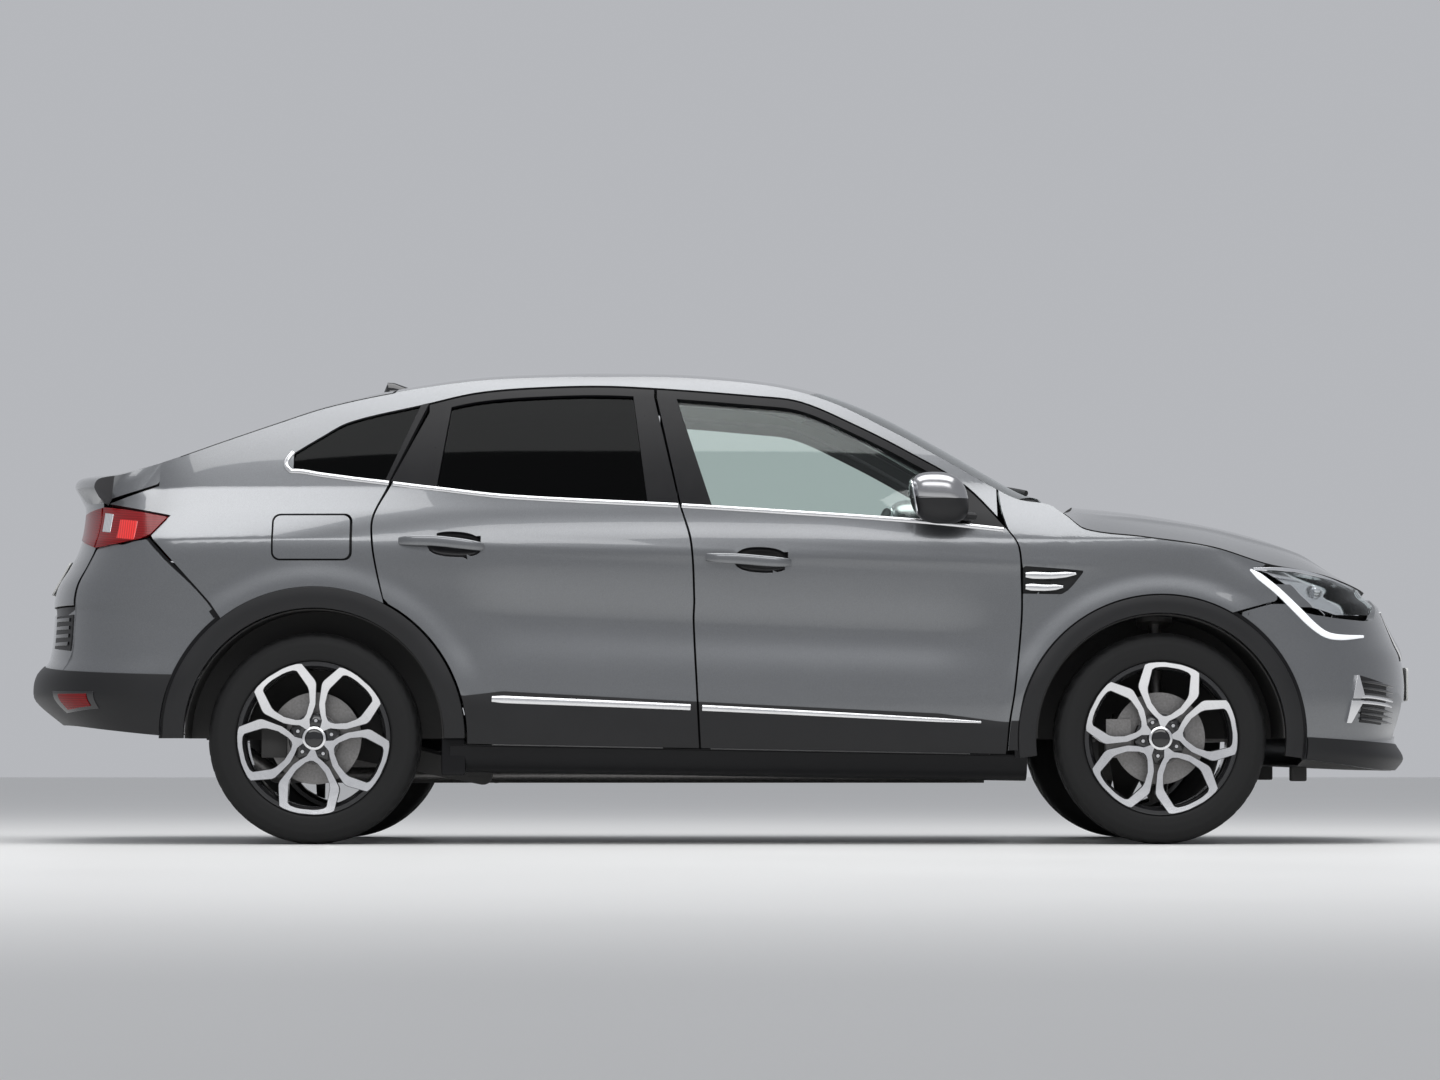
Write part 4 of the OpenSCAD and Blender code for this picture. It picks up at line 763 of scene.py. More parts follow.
def frame_of(x, z, grow=0.0, corner=26.0):
    """Rounded rectangle between two stations and two heights."""
    (x0, x1), (z0, z1) = (x[0] - grow, x[1] + grow), (z[0] - grow, z[1] + grow)
    a = np.radians(np.arange(0, 91, 15))
    turn = join(np.cos(a), np.sin(a)) * corner
    spots = ((x1 - corner, z1 - corner, 1, 1), (x0 + corner, z1 - corner, -1, 1),
             (x0 + corner, z0 + corner, -1, -1), (x1 - corner, z0 + corner, 1, -1))
    return np.concatenate([
        np.array([cx, cz]) + (turn if sx * sz > 0 else turn[::-1]) * (sx, sz) for cx, cz, sx, sz in spots
    ])


def opened(xz, outline, reach=7.0):
    """Moves a grid's points that lie near an outline onto it, and tells which cells lie outside."""
    line = closed(outline, 600)
    flat = xz.reshape(-1, 2).copy()
    low, high = line.min(0) - 2 * reach, line.max(0) + 2 * reach
    pick = np.nonzero(((flat > low) & (flat < high)).all(1))[0]
    gap = np.linalg.norm(flat[pick, None] - line[None], axis=-1)
    near = gap.min(1) < reach
    flat[pick[near]] = line[gap[near].argmin(1)]
    grid = flat.reshape(xz.shape)
    middle = (grid[:-1, :-1] + grid[1:, :-1] + grid[:-1, 1:] + grid[1:, 1:]) / 4
    return grid, ~inside(middle, outline)


def body_side_grid():
    """Quarter panel as a patch under the belt with two blended bands above it, and the roof rail
    ahead of them."""
    t, marks = np.linspace(0, 7, 92), np.arange(8)
    belt_x = np.interp(t, marks, [-1071, -1085, -1190, -1290, -1385, -1550, -1720, -1992])
    belt = join(belt_x, curve(QUARTER_BELT, belt_x))
    top_x = np.interp(t, marks, [-948, -975, -1110, -1250, -1385, -1550, -1700, -1826])
    top_z = np.where(top_x > -1385, curve(WINDOW_TOP, top_x) + HALF_GAP, curve(QUARTER_TOP, top_x))
    top = join(top_x, top_z)
    roof_x = np.interp(t, marks, [-930, -960, -1100, -1250, -1400, -1570, -1710, -1822])
    roof = join(roof_x, curve(EDGE, roof_x) - np.where(roof_x < -1066, HALF_GAP, 0.3))
    arch = arc(REAR_AXLE, REAR_ARCH[0], 62.7, 127.7, len(t))
    z = np.linspace(arch[0, 1], belt[0, 1], 46)
    front = join(curve(QUARTER_SPLIT, z) - HALF_GAP, z)
    front[:, 0] += (arch[0, 0] - front[0, 0]) * np.linspace(1, 0, 46) ** 8
    front[:, 0] += (belt[0, 0] - front[-1, 0]) * np.linspace(0, 1, 46) ** 8
    rear = resample(np.concatenate([arch[-1:], QUARTER_REAR]), 46)
    low = patch(arch, belt, front, rear)
    step = np.linspace(0, 1, 10)[1:, None, None]
    quarter = np.concatenate([low, mix(belt, top, step), mix(top, roof, step)])
    x = np.linspace(890, -915, RAIL_COLS)
    rail_low = join(x, curve(WINDOW_TOP, x) + HALF_GAP)
    rail_top = join(x, curve(EDGE, x) - 0.3)
    rail = np.concatenate([np.broadcast_to(rail_low, (55, RAIL_COLS, 2)), mix(rail_low, rail_top, step)])
    keep = np.ones((63, 167), bool)
    keep[:54, :RAIL_COLS] = False
    keep[45:54, RAIL_COLS + 13 : RAIL_COLS + 52] = False
    return np.concatenate([rail, quarter], 1), keep


def make_body_sides():
    """Quarter panels with the roof rails, quarter glass, and the fuel flap with its pocket and cap."""
    grid, keep = body_side_grid()
    depth = np.full(grid.shape[:2], 20.0)
    depth[-1] = 8
    outline = frame_of(*FLAP, grow=GAP)
    outline[:, 0] += np.where(outline[:, 0] > sum(FLAP[0]) / 2, 2.5, 0)
    for name, way in SIDES:
        xz, open_cells = (grid, True) if way > 0 else opened(grid, outline)
        panel = side_panel(
            "body_side_" + name, xz, depth, "body_paint", way=way, keep=keep & open_cells,
            inner_look="cabin_plastic", bevel=1.4,
        )
        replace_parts(panel, "body_sides")
        make_quarter_glass(name, way, grid)
    share = column(0, 1, 7)[..., None]
    ring = closed(outline, 97)
    middle = ring.mean(0)
    floor = np.concatenate([np.broadcast_to(ring, (2, 97, 2)), mix(ring, middle, share)[1:]])
    sink = np.concatenate([[2.0], np.full(7, 28.0)])[:, None] + np.zeros((8, 97))
    cup = on_side(floor, sink, -1)
    sheet("fuel_pocket", cup, "black_plastic")
    xs = np.linspace(FLAP[0][0] - 4, FLAP[0][1] + 4, 48)
    zs = np.linspace(FLAP[1][0] - 4, FLAP[1][1] + 4, 32)
    flap, keep = opened(np.stack(np.meshgrid(xs, zs), -1), frame_of(*FLAP, corner=22), 5.0)
    lid = side_panel("fuel_flap_lid", flap, 6.0, "body_paint", "fuel_flap", way=-1, keep=~keep, bevel=1.2)
    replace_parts(lid, "fuel_flap")
    cap = turned(
        [(0.1, -14), (24, -14), (27, -11), (27, -5), (31, -4), (31, 3), (0.1, 3)],
        (-1320, -858, 985), 40,
    )
    sheet("fuel_cap", cap, "cabin_plastic")


def make_quarter_glass(name, way, grid):
    """Pane in the quarter panel's opening, a few millimetres under the skin."""
    pane = grid[45:55, RAIL_COLS + 12 : RAIL_COLS + 54]
    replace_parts(side_panel("quarter_glass_" + name, pane, 14.0, "dark_glass", way=way,
                           rise=-9.0), "quarter_glasses")
    side_panel(
        "quarter_post_" + name, grid[45:55, RAIL_COLS : RAIL_COLS + 14], 4.0, "satin_black",
        way=way, rise=1.2, bevel=0.8,
    )
    x = np.linspace(-1072, -1392, 50)
    hook = [(-1403, 1214), (-1409, 1224), (-1408, 1238), (-1400, 1252), (-1386, 1268)]
    line = np.concatenate([join(x, curve(QUARTER_BELT, x) - 7), smooth_line(hook, 16)])
    belt_strip("quarter_belt_" + name, "chassis", way, line)


def door_ends(front, z):
    """Stations of a door's two upright edges at a height."""
    if front:
        return curve(FENDER_SPLIT, z) - HALF_GAP, curve(MIDDLE_SPLIT, z) + HALF_GAP
    arch = REAR_AXLE + np.sqrt(np.maximum(0, (REAR_ARCH[0] + GAP) ** 2 - (z - AXLE_Z) ** 2))
    return curve(MIDDLE_SPLIT, z) - HALF_GAP, np.where(z < 778, arch, curve(QUARTER_SPLIT, z) + HALF_GAP)


def door_grid(front, rows=DOOR_ROWS, cols=DOOR_COLS, high=None):
    """Door panel: stations blended between its edges, heights from its foot to a line over the
    stations."""
    high = high or (lambda x: curve(BELT, x))
    s, v = np.meshgrid(np.linspace(0, 1, cols), np.linspace(0, 1, rows))
    x = mix(916.0, -129.0, s) if front else mix(-135.0, -1059.0, s)
    for _ in range(8):
        z = mix(curve(DOOR_BOTTOM, x) + HALF_GAP, high(x), v)
        a, b = door_ends(front, z)
        x = mix(a, b, s)
    return join(x, z)


def window_rows(front):
    """Columns round a door's window: the belt, the lower edge of the frame and its top, as the CAD
    grid has them."""
    marks, t = np.arange(10), np.linspace(0, 9, 109)
    if front:
        low_x = np.interp(t, marks, [916, 862, 859, 770, 600, 420, 240, 60, -29, -129])
        lean = np.interp(t, marks, [-11, 0, 0, 0, -24, -50, -76, -102, -115, -79])
    else:
        low_x = np.interp(t, marks, [-135, -193, -196, -237, -400, -560, -720, -830, -917, -1066])
        lean = np.interp(t, marks, [-82, -42, -43, -48, -27, -6, 15, 30, 41, 118])
    belt = join(low_x, curve(BELT, low_x))
    high_x = low_x + lean
    drop = np.where(t < 3, 4.0, 0.0) if front else 0.0
    top = join(high_x, curve(WINDOW_TOP, high_x) - HALF_GAP - drop)
    opening = top - (0, 27)
    if front:
        opening = np.where((t < 3)[:, None], (belt + top) / 2, opening)
    return belt, opening, top


def make_door(front, name, way):
    """One door: painted shell with a recess for its handle, window frame, pane, cladding, strips
    and inner card."""
    which = ("front_" if front else "rear_") + name
    body = which + "_door"
    xz = door_grid(front)
    grip = HANDLE[front]
    rim = soften(grip["cup"], 3)
    panel, keep = opened(xz, rim, 8.0)
    depth = np.interp(np.linspace(0, 1, panel.shape[1]), [0, 0.06], [6.0, 24.0])
    shell = side_panel(which + "_door_shell", panel, depth, "body_paint", body, way=way, keep=keep,
                       inner_look="cabin_plastic", bevel=1.4)
    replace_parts(shell, body)
    ring = closed(rim, 73)
    share = column(0, 1, 12)[..., None]
    cup = mix(ring, ring.mean(0), share)
    sink = 2 + 24 * np.sqrt(unit(1 - (1 - share[..., 0]) ** 2.2)) + np.zeros((12, 73))
    dish = on_side(cup, sink, way)
    sheet(which + "_handle_cup", dish, "satin_black", body)
    path = smooth_line(grip["bar"], 44)
    s = np.linspace(-1, 1, 44)
    lift = 26 * (1 - np.abs(s) ** 5) + 2
    grab = on_side(path, -lift, way)
    size = 1 - 0.25 * np.abs(s) ** 4
    sweep(which + "_handle", grab, (0, way, 0), oval(7, 17, 24, 0.7), "body_paint", body, taper=size)
    inner_card(xz, which, body, way)
    belt, opening, top = window_rows(front)
    step = column(0, 1, 9)[..., None]
    surround = np.concatenate(
        [mix(belt, opening, step), mix(opening, top, np.linspace(0, 1, 5)[1:, None, None])]
    )
    keep = np.ones((12, 108), bool)
    keep[:8, 36:96] = False
    side_panel(which + "_window_frame", surround, 34.0, "satin_black", body, way=way, keep=keep,
               rise=-0.5, bevel=1.2)
    pane = mix(belt, opening, step)[:, 35:98]
    look = "clear_glass" if front else "dark_glass"
    glass = side_panel(which + "_pane", pane, 16.0, look, body, way=way, rise=-11.0)
    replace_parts(glass, which + "_glass")
    make_door_trim(front, which, body, way)


def inner_card(xz, which, body, way):
    """Moulded lining inside the door with an armrest swelling and a pocket line."""
    part = xz[6::2, 4:-3:2]
    x, z = part[..., 0], part[..., 1]
    middle = x.mean()
    rest = np.exp(-(((z - 720) / 55) ** 2)) * np.exp(-(((x - middle) / 330) ** 4))
    pocket = np.exp(-(((z - 470) / 60) ** 2)) * np.exp(-(((x - middle) / 300) ** 4))
    face, back = on_side(part, 76 + 26 * rest + 14 * pocket, way), on_side(part, 25.0, way)
    slab(which + "_card", face, back, "cabin_plastic", body, bevel=4.0)


CLADDING_TOP = [(-840, 474), (-67, 436), (927, 392)]
STRIP_LINE = [(-735, 466), (-67, 438), (834, 392)]
HANDLE = {
    True: {
        "cup": [(62, 874), (196, 868), (226, 904), (196, 950), (72, 956), (34, 915)],
        "bar": [(-46, 922), (60, 919), (140, 912), (222, 904)],
    },
    False: {
        "cup": [(-924, 924), (-790, 918), (-760, 954), (-790, 1000), (-914, 1006), (-952, 965)],
        "bar": [(-1032, 972), (-926, 969), (-846, 962), (-764, 954)],
    },
}


def cladding_top(x):
    """Upper edge of the doors' cladding: its straight line with a rise that dies away at both ends."""
    return curve(CLADDING_TOP, x) + np.interp(x, [-821, -700, 700, 900], [4, 24, 18, 0])


def make_door_trim(front, which, body, way):
    """Black cladding with its bright strip along the door's foot, and the bright belt line."""
    clad = door_grid(front, 14, 60, high=cladding_top)
    v = column(0, 1, 14)
    swell = 2 + 7 * np.sin(np.pi * np.clip(v, 0.02, 0.98)) ** 0.5 + 0 * clad[..., 0]
    side_panel(which + "_cladding", clad, 8.0, "black_plastic", body, way=way, rise=swell, bevel=1.5)
    x = np.linspace(834, -60, 60) if front else np.linspace(-98, -735, 50)
    z = curve(STRIP_LINE, x)
    size = np.interp(x, [-735, -700, 700, 834], [0.75, 1, 0.55, 0.25])
    path = skin(x, z, -9.0) * (1, way, 1)
    sweep(which + "_strip", path, (0, way, 0), oval(3.5, 12), "bright_trim", body, taper=size)
    x = np.linspace(908, -126, 70) if front else np.linspace(-138, -1058, 60)
    belt_strip(which + "_belt", body, way, join(x, curve(BELT, x) - 7))


def belt_strip(name, body, way, line):
    """Bright bar of rounded section that lies on the skin along a line."""
    sweep(name, on_side(line, -1.5, way), (0, way, 0), oval(4.5, 8, power=0.6), "bright_trim", body)


def make_fenders():
    """Front wings as one patch, with the vent behind the wheel and its bright blades."""
    corner = [(curve(FENDER_SPLIT, 300) + HALF_GAP, 300)]
    low = resample(np.concatenate([corner, arc(FRONT_AXLE, FRONT_ARCH[0] + 4, 180, 60.4, 60)]), 78)
    x = np.linspace(897, 1752, 78)
    top = join(x, curve(EDGE, x) - np.where(x < 1085, 0.3, HALF_GAP))
    z = np.linspace(300, 1015, 40)
    rear = np.concatenate([join(curve(FENDER_SPLIT, z) + HALF_GAP, z), [(905, 1075)], top[:1]])
    front = [low[-1], (1672, 752), (1730, 768), (1786, 783), (1790, 806), (1772, 830), (1706, 882), top[-1]]
    grid = patch(low, top, resample(rear, 52), resample(front, 52))
    vent = soften(VENT, 1)
    grid, keep = opened(grid, vent, 8.0)
    panel = side_panel("front_wings", grid, 18.0, "body_paint", both=True, keep=keep, bevel=1.4)
    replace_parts(panel, "front_fenders")
    ring = closed(vent, 73)
    share = column(0, 1, 10)[..., None]
    cup = mix(ring, ring.mean(0), share)
    sink = np.concatenate([[1.0], np.full(9, 14.0)])[:, None] + np.zeros((10, 73))
    cup = np.concatenate([ring[None], cup[:-1]])
    for name, way in SIDES:
        dish = on_side(cup, sink, way)
        sheet("wing_vent_" + name, dish, "black_plastic")
        z = column(302, 396, 10)
        edge = FRONT_AXLE - np.sqrt((FRONT_ARCH[0] + 1) ** 2 - (z - AXLE_Z) ** 2)
        x = mix(curve(FENDER_SPLIT, z) + HALF_GAP + 1, edge, np.linspace(0, 1, 6)[None])
        side_panel("wing_cladding_" + name, join(x, z), 6.0, "black_plastic",
                   way=way, rise=4.0, bevel=1.0)
        for i, line in enumerate(VENT_BLADES):
            path = smooth_line(line, 30)
            path = on_side(path, 2.0, way)
            size = np.interp(np.linspace(0, 1, 30), [0, 0.15, 0.8, 1], [0.7, 1, 0.8, 0.3])
            sweep(
                f"wing_blade_{name}_{i}", path, (0, way, 0), oval(4, 12, 12, 0.6), "bright_trim",
                taper=size,
            )


VENT = [
    (969, 893), (971, 893), (1100, 884), (1163, 878), (1166, 876),
    (1120, 818), (1095, 803), (1092, 802), (972, 804), (969, 804),
]
VENT_BLADES = [[(978, 864), (1060, 862), (1140, 868)], [(978, 826), (1040, 823), (1098, 826)]]


def upper_grid(xs, bows, v, inset=0.0, depth=0.0, bump=None):
    """Rows across the car on the upper surface; a row's station moves forward by its bow times one
    less v squared."""
    x = np.asarray(xs, float)[:, None] + np.asarray(bows, float)[:, None] * (1 - v[None] ** 2)
    base = np.asarray(xs, float)[:, None]
    share = v[None] * (1 - inset / width(base, curve(EDGE, base)))
    return upper(x, share, depth if bump is None else depth - bump(x, share))


def bonnet_form(x, v):
    """Raised middle with a crease on each side that fades towards the screen and the nose."""
    fade = ease((x - 1150) / 250) * (1 - ease((x - 1900) / 200))
    line = 0.66 - 0.16 * unit((x - 1150) / 900)
    crease = np.exp(-(((np.abs(v) - line) / 0.045) ** 2))
    return fade * (7 * crease + 5 * ease((line - np.abs(v)) / 0.25))


def make_tops():
    """Roof, windscreen, scuttle and bonnet."""
    v = np.linspace(1, -1, 81)
    x = np.linspace(-1061, 290, 40)
    bows = 60 * unit((x + 310) / 600)
    roof = slab("roof_skin", upper_grid(x, bows, v), upper_grid(x, bows, v, 8, 16.0), "body_paint",
                inner_look="roof_lining", bevel=1.2)
    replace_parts(roof, "roof_panel")
    x = np.linspace(291, 960, 40)
    bows = mix(60, 118, (x - 290) / 670)
    glass = slab(
        "windscreen_pane", upper_grid(x, bows, v), upper_grid(x, bows, v, 4, 5.0), "clear_glass",
        bevel=0.8,
    )
    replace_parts(glass, "windscreen")
    keep = np.ones((39, 80), bool)
    keep[3:-5, 3:-3] = False
    slab(
        "windscreen_border", upper_grid(x, bows, v, 1, 5.6), upper_grid(x, bows, v, 6, 6.6),
        "gloss_black", keep=keep,
    )
    x = np.linspace(1105, 2124, 58)
    bows = 70 * (1 - ease((x - 1105) / 100))
    lid = slab(
        "bonnet_skin", upper_grid(x, bows, v, GAP, 0, bonnet_form),
        upper_grid(x, bows, v, 20, 18.0, bonnet_form), "body_paint", "bonnet",
        inner_look="under_coat", bevel=1.6,
    )
    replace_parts(lid, "bonnet")
    fin_x = np.linspace(0, 1, 26)
    base = join(mix(-1012, -1138, fin_x), 0 * fin_x, curve(RIDGE, mix(-1012, -1138, fin_x)) - 4)
    high = 52 * np.interp(fin_x, [0, 0.2, 0.7, 0.88, 1], [0.02, 0.25, 0.9, 1, 0.3])
    high = np.minimum(high, 1556 - base[:, 2])
    half = 22 * np.sqrt(unit(1 - (2 * fin_x - 1) ** 4)) + 0.4
    a = np.linspace(-np.pi / 2, np.pi / 2, 19)
    fin = join(base[:, :1] - 0 * a, half[:, None] * np.sign(a) * np.abs(np.sin(a)) ** 1.5,
        base[:, 2:] + high[:, None] * np.cos(a) ** 0.8)
    sheet("roof_fin", fin, "gloss_black", "tailgate")
    for i, (start, end) in enumerate((((1010, -330), (905, 330)), ((1000, 300), (860, 700)))):
        make_wiper(i, start, end)


def make_wiper(i, start, end):
    """Wiper arm and blade lying on the foot of the screen between two points given by station and width."""
    s = np.linspace(0, 1, 40)
    x, y = mix(start[0], end[0], s), mix(start[1], end[1], s)
    spot = upper(x, y / width(x, curve(EDGE, x)), -9.0)
    sweep(f"wiper_{i}", spot, (0, 0, 1), oval(7, 5, 12), "black_plastic", taper=mix(1.3, 0.6, s))


SPOILER = [(-2150, 1150, 122), (-2166, 1182, 124), (-2150, 1206, 122), (-2040, 1220, 84), (-1950, 1234, 44)]
SPOILER_UNDER = [
    (-2072, 1118, 76), (-2066, 1128, 74), (-2056, 1142, 74), (-2000, 1168, 60), (-1930, 1186, 40)
]


def tailgate_grid(v, inset, depth):
    """Rows up the tail, round the spoiler's lip and along the rear window to the hinge."""
    share = 0.97 if inset else 1.0
    low = tail(48 * share * v[None], column(772, 1108, 44), depth)
    rows = smooth_line(SPOILER_UNDER if inset else SPOILER, 26)
    x = rows[:, :1] + rows[:, 2:] * v[None] ** 2
    lip = join(x, share * 632 * v[None] + 0 * x, rows[:, 1:2] - 20 * v[None] ** 2)
    x = np.linspace(-1822, -1071, 60)
    return np.concatenate([low, lip, upper_grid(x, 0 * x, v, GAP + inset, depth)])


def make_tailgate():
    """Tailgate with the spoiler, its dark window, the rear plate's recess and the lamps on it."""
    v = np.linspace(1, -1, 75)
    outer, inner = tailgate_grid(v, 0, 0), tailgate_grid(v, 14, 26.0)
    keep = np.ones((129, 74), bool)
    keep[75:122, 4:-4] = False
    lid = slab(
        "tailgate_skin", outer, inner, "body_paint", "tailgate", keep=keep,
        inner_look="cabin_plastic", bevel=1.6,
    )
    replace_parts(lid, "tailgate")
    pane = mix(outer, inner, 0.15)[75:124, 3:-3]
    under = mix(outer, inner, 0.33)[75:124, 3:-3]
    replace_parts(slab("tailgate_pane", pane, under, "dark_glass", "tailgate"), "tailgate_glass")
    low = smooth_line([(-2034, 1110), (-1996, 1119), (-1905, 1144), (-1832, 1166)], 40)
    low = join(low[:, 0], body_width(low[:, 0], low[:, 1]) - 1, low[:, 1])
    high = resample(outer[50:76, 0], 40)
    step = np.linspace(0, 1, 16)
    rear = mix(low[0], high[0], step[:, None])
    front = mix(low[-1], high[-1], step[:, None])
    cheek = patch(low, high, rear, front)
    for name, way in SIDES:
        inward("tailgate_cheek_" + name, cheek, 8, way, "body_paint", "tailgate", bevel=1.0)
        a = np.linspace(47.6, 27, 24)
        low, high = np.interp(a, [27, 47.6], [990, 959]), np.interp(a, [27, 47.6], [1078, 1093])
        z = mix(low[None], high[None], column(0, 1, 20))
        lens = layer(
            "tailgate_lamp_" + name, tail, a[None] * way, z, -6.0, 2.0, "lens_red", "tailgate",
            bevel=3.0,
        )
        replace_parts(lens, "tailgate_lamps")


# Bumpers, lamps, arches and mirrors

REAR_LOW = [(0, 385), (40, 380), (60, 366), (80, 346)]
REAR_TOP = [(0, 758), (49, 758), (49.7, 950), (66, 964), (72, 974), (78, 980)]
REAR_SIDE = [(725, -1613), (776, -1650), (832, -1701), (914, -1788.5), (991, -1860.5)]
FRONT_LOW = [(0, 235), (40, 238), (60, 250), (80, 272)]
FRONT_TOP = [(0, 797), (25, 795), (31, 766), (39, 726), (56, 726), (66, 742), (75, 770), (80, 770)]
FRONT_SIDE = [(735, 1646), (747, 1680), (763, 1738), (778, 1798)]
LAMP_TURN = (71, 69.8, 66, 56, 41, 33)
LAMP_LOW = (879, 872, 766, 740, 740, 774)
LAMP_HIGH = (881, 884, 884, 868, 847, 824)
LAMP_STRIP = [
    (1700, 882), (1740, 852), (1790, 812), (1850, 755), (1905, 703), (1950, 674), (2000, 666), (2080, 670),
]
TAIL_INSERTS = (
    ("bar", (68, 984), (60, 1048), "lens_bright"), ("clear", (56, 1000), (50.4, 1064), "lens_pale")
)
TAIL_TURN = (76.5, 74.5, 72.9, 70, 62, 55, 48.7)
TAIL_LOW = (1050, 1020, 997, 982, 969, 962, 957)
TAIL_HIGH = (1054, 1060, 1063, 1070, 1082, 1089, 1094)


def bent(a, start, last, edge):
    """Angle stretched past a bend so that the last column ends at the edge."""
    far = np.abs(a) > start
    return np.where(far, np.sign(a) * mix(start, edge, (np.abs(a) - start) / (last - start)), a)


def rear_bumper(a, v, depth=0.0):
    """Point of the rear bumper at an angle round the tail and a share of its height."""
    a, v = np.broadcast_arrays(np.asarray(a, float), np.asarray(v, float))
    z = mix(curve(REAR_LOW, np.abs(a)), curve(REAR_TOP, np.abs(a)), v)
    round_arch = REAR_AXLE - np.sqrt(np.maximum(0, (REAR_ARCH[0] + 8) ** 2 - (z - AXLE_Z) ** 2))
    edge = tail_angle(np.where(z < 725, round_arch, curve(REAR_SIDE, z)), z)
    return tail(bent(a, 50, 77, edge), z, depth)


def front_bumper(a, v, depth=0.0):
    """Point of the front bumper at an angle round the nose and a share of its height."""
    a, v = np.broadcast_arrays(np.asarray(a, float), np.asarray(v, float))
    z = mix(curve(FRONT_LOW, np.abs(a)), curve(FRONT_TOP, np.abs(a)), v)
    round_arch = FRONT_AXLE + np.sqrt(np.maximum(0, (FRONT_ARCH[0] + 12.08) ** 2 - (z - AXLE_Z) ** 2))
    edge = nose_angle(np.where(z < 735, round_arch, curve(FRONT_SIDE, z)), z)
    return nose(bent(a, 40, 79, edge), z, depth)


def share_at(low, high, a, z):
    """Share of a bumper's height at which it has a height."""
    return (z - curve(low, np.abs(a))) / (curve(high, np.abs(a)) - curve(low, np.abs(a)))


def make_rear_bumper():
    """Painted upper part over a black lower part, with reflectors, corner vents and a blank plate above."""
    a = np.concatenate([np.linspace(77, 50, 36), np.linspace(49.69, 49.01, 3), np.linspace(48, -48, 50),
                        np.linspace(-49.01, -49.69, 3), np.linspace(-50, -77, 36)])
    v = column(0, 1, 32)
    panel = layer("rear_bumper_skin", rear_bumper, a[None], v, 0, 20.0, "body_paint", bevel=1.4)
    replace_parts(panel, "rear_bumper")
    split = 545 + 45 * (1 - np.abs(a) / 77)
    v = column(0.004, 1, 16) * share_at(REAR_LOW, REAR_TOP, a, split)[None]
    rise = -(3 + 5 * np.sin(np.pi * np.linspace(0.03, 0.97, 16)) ** 0.5)[:, None]
    layer("rear_bumper_lower", rear_bumper, a[None], v, rise, 4.0, "black_plastic", bevel=2.0)
    for name, way in SIDES:
        on_bumper(REAR_FORM, "rear_reflector_" + name, way, REFLECTOR, 14.0, "lens_red")
        on_bumper(REAR_FORM, "rear_reflector_frame_" + name, way, REFLECTOR_FRAME, 10.5, "gloss_black")
        on_bumper(REAR_FORM, "rear_corner_vent_" + name, way, CORNER_VENT, 3.0, "black_plastic")
        for j in range(4):
            z = 648 + 26 * j
            rib = ((-46.0, -33.0), ((z + 6, z - 6), (z + 5, z - 5)))
            on_bumper(REAR_FORM, f"rear_vent_rib_{name}_{j}", way, rib, 7.0, "gloss_black")
    # Dark sheet behind the gap between the bumper and the tailgate: painted shade that makes the gap read
    # dark
    turn = np.linspace(54, -54, 90)
    shade_backing = column(740, 767, 6)
    layer("rear_bumper_seal", tail, turn[None], shade_backing, 7.0, 13.0, "satin_black")
    for name, way in SIDES:
        # Dark sheets behind the bumper's side gap and the gap at the tailgate's corner: painted shade
        z = column(727, 984, 30)
        x = np.interp(z, *np.transpose(REAR_SIDE)) + np.linspace(-14, 14, 6)[None]
        y = body_width(x, z)
        shade_backing = join(x, y - 8, z)
        inward("rear_bumper_side_seal_" + name, shade_backing, 6, way, "satin_black")
        turn, shade_backing = np.linspace(54, 44, 12) * way, column(740, 1090, 30)
        layer("tailgate_seal_" + name, tail, turn[None], shade_backing, 33.0, 38.0, "satin_black")
    plate = rounded_box((8, 520, 112), (0, 0, 872), 14, 24)
    ends = tail(np.zeros(2), np.array([816.0, 928.0]))[:, 0]
    plate[..., 0] += np.interp(plate[..., 2], [816, 928], ends) - 5
    sheet("rear_plate", plate, "plate_blank", "tailgate")


REAR_FORM, FRONT_FORM = (rear_bumper, REAR_LOW, REAR_TOP), (front_bumper, FRONT_LOW, FRONT_TOP)
REFLECTOR = ((-61.5, -50.5), ((484, 444), (484, 432)))
REFLECTOR_FRAME = ((-63.5, -47.0), ((492, 436), (494, 422)))
CORNER_VENT = ((-48.0, -31.0), ((742, 624), (736, 634)))


def on_bumper(form, name, way, span, rise, look):
    """Raised patch of a bumper between two angles, whose upper and lower heights change along it."""
    surface, low, high = form
    (a0, a1), ((top0, low0), (top1, low1)) = span
    s = np.linspace(0, 1, 30)
    a = mix(a0, a1, s) * -way
    heights = mix(mix(low0, low1, s)[None], mix(top0, top1, s)[None], column(0, 1, 12))
    v = share_at(low, high, a[None], heights)
    return layer(name, surface, a[None], v, -rise, 6.0, look, bevel=2.0)


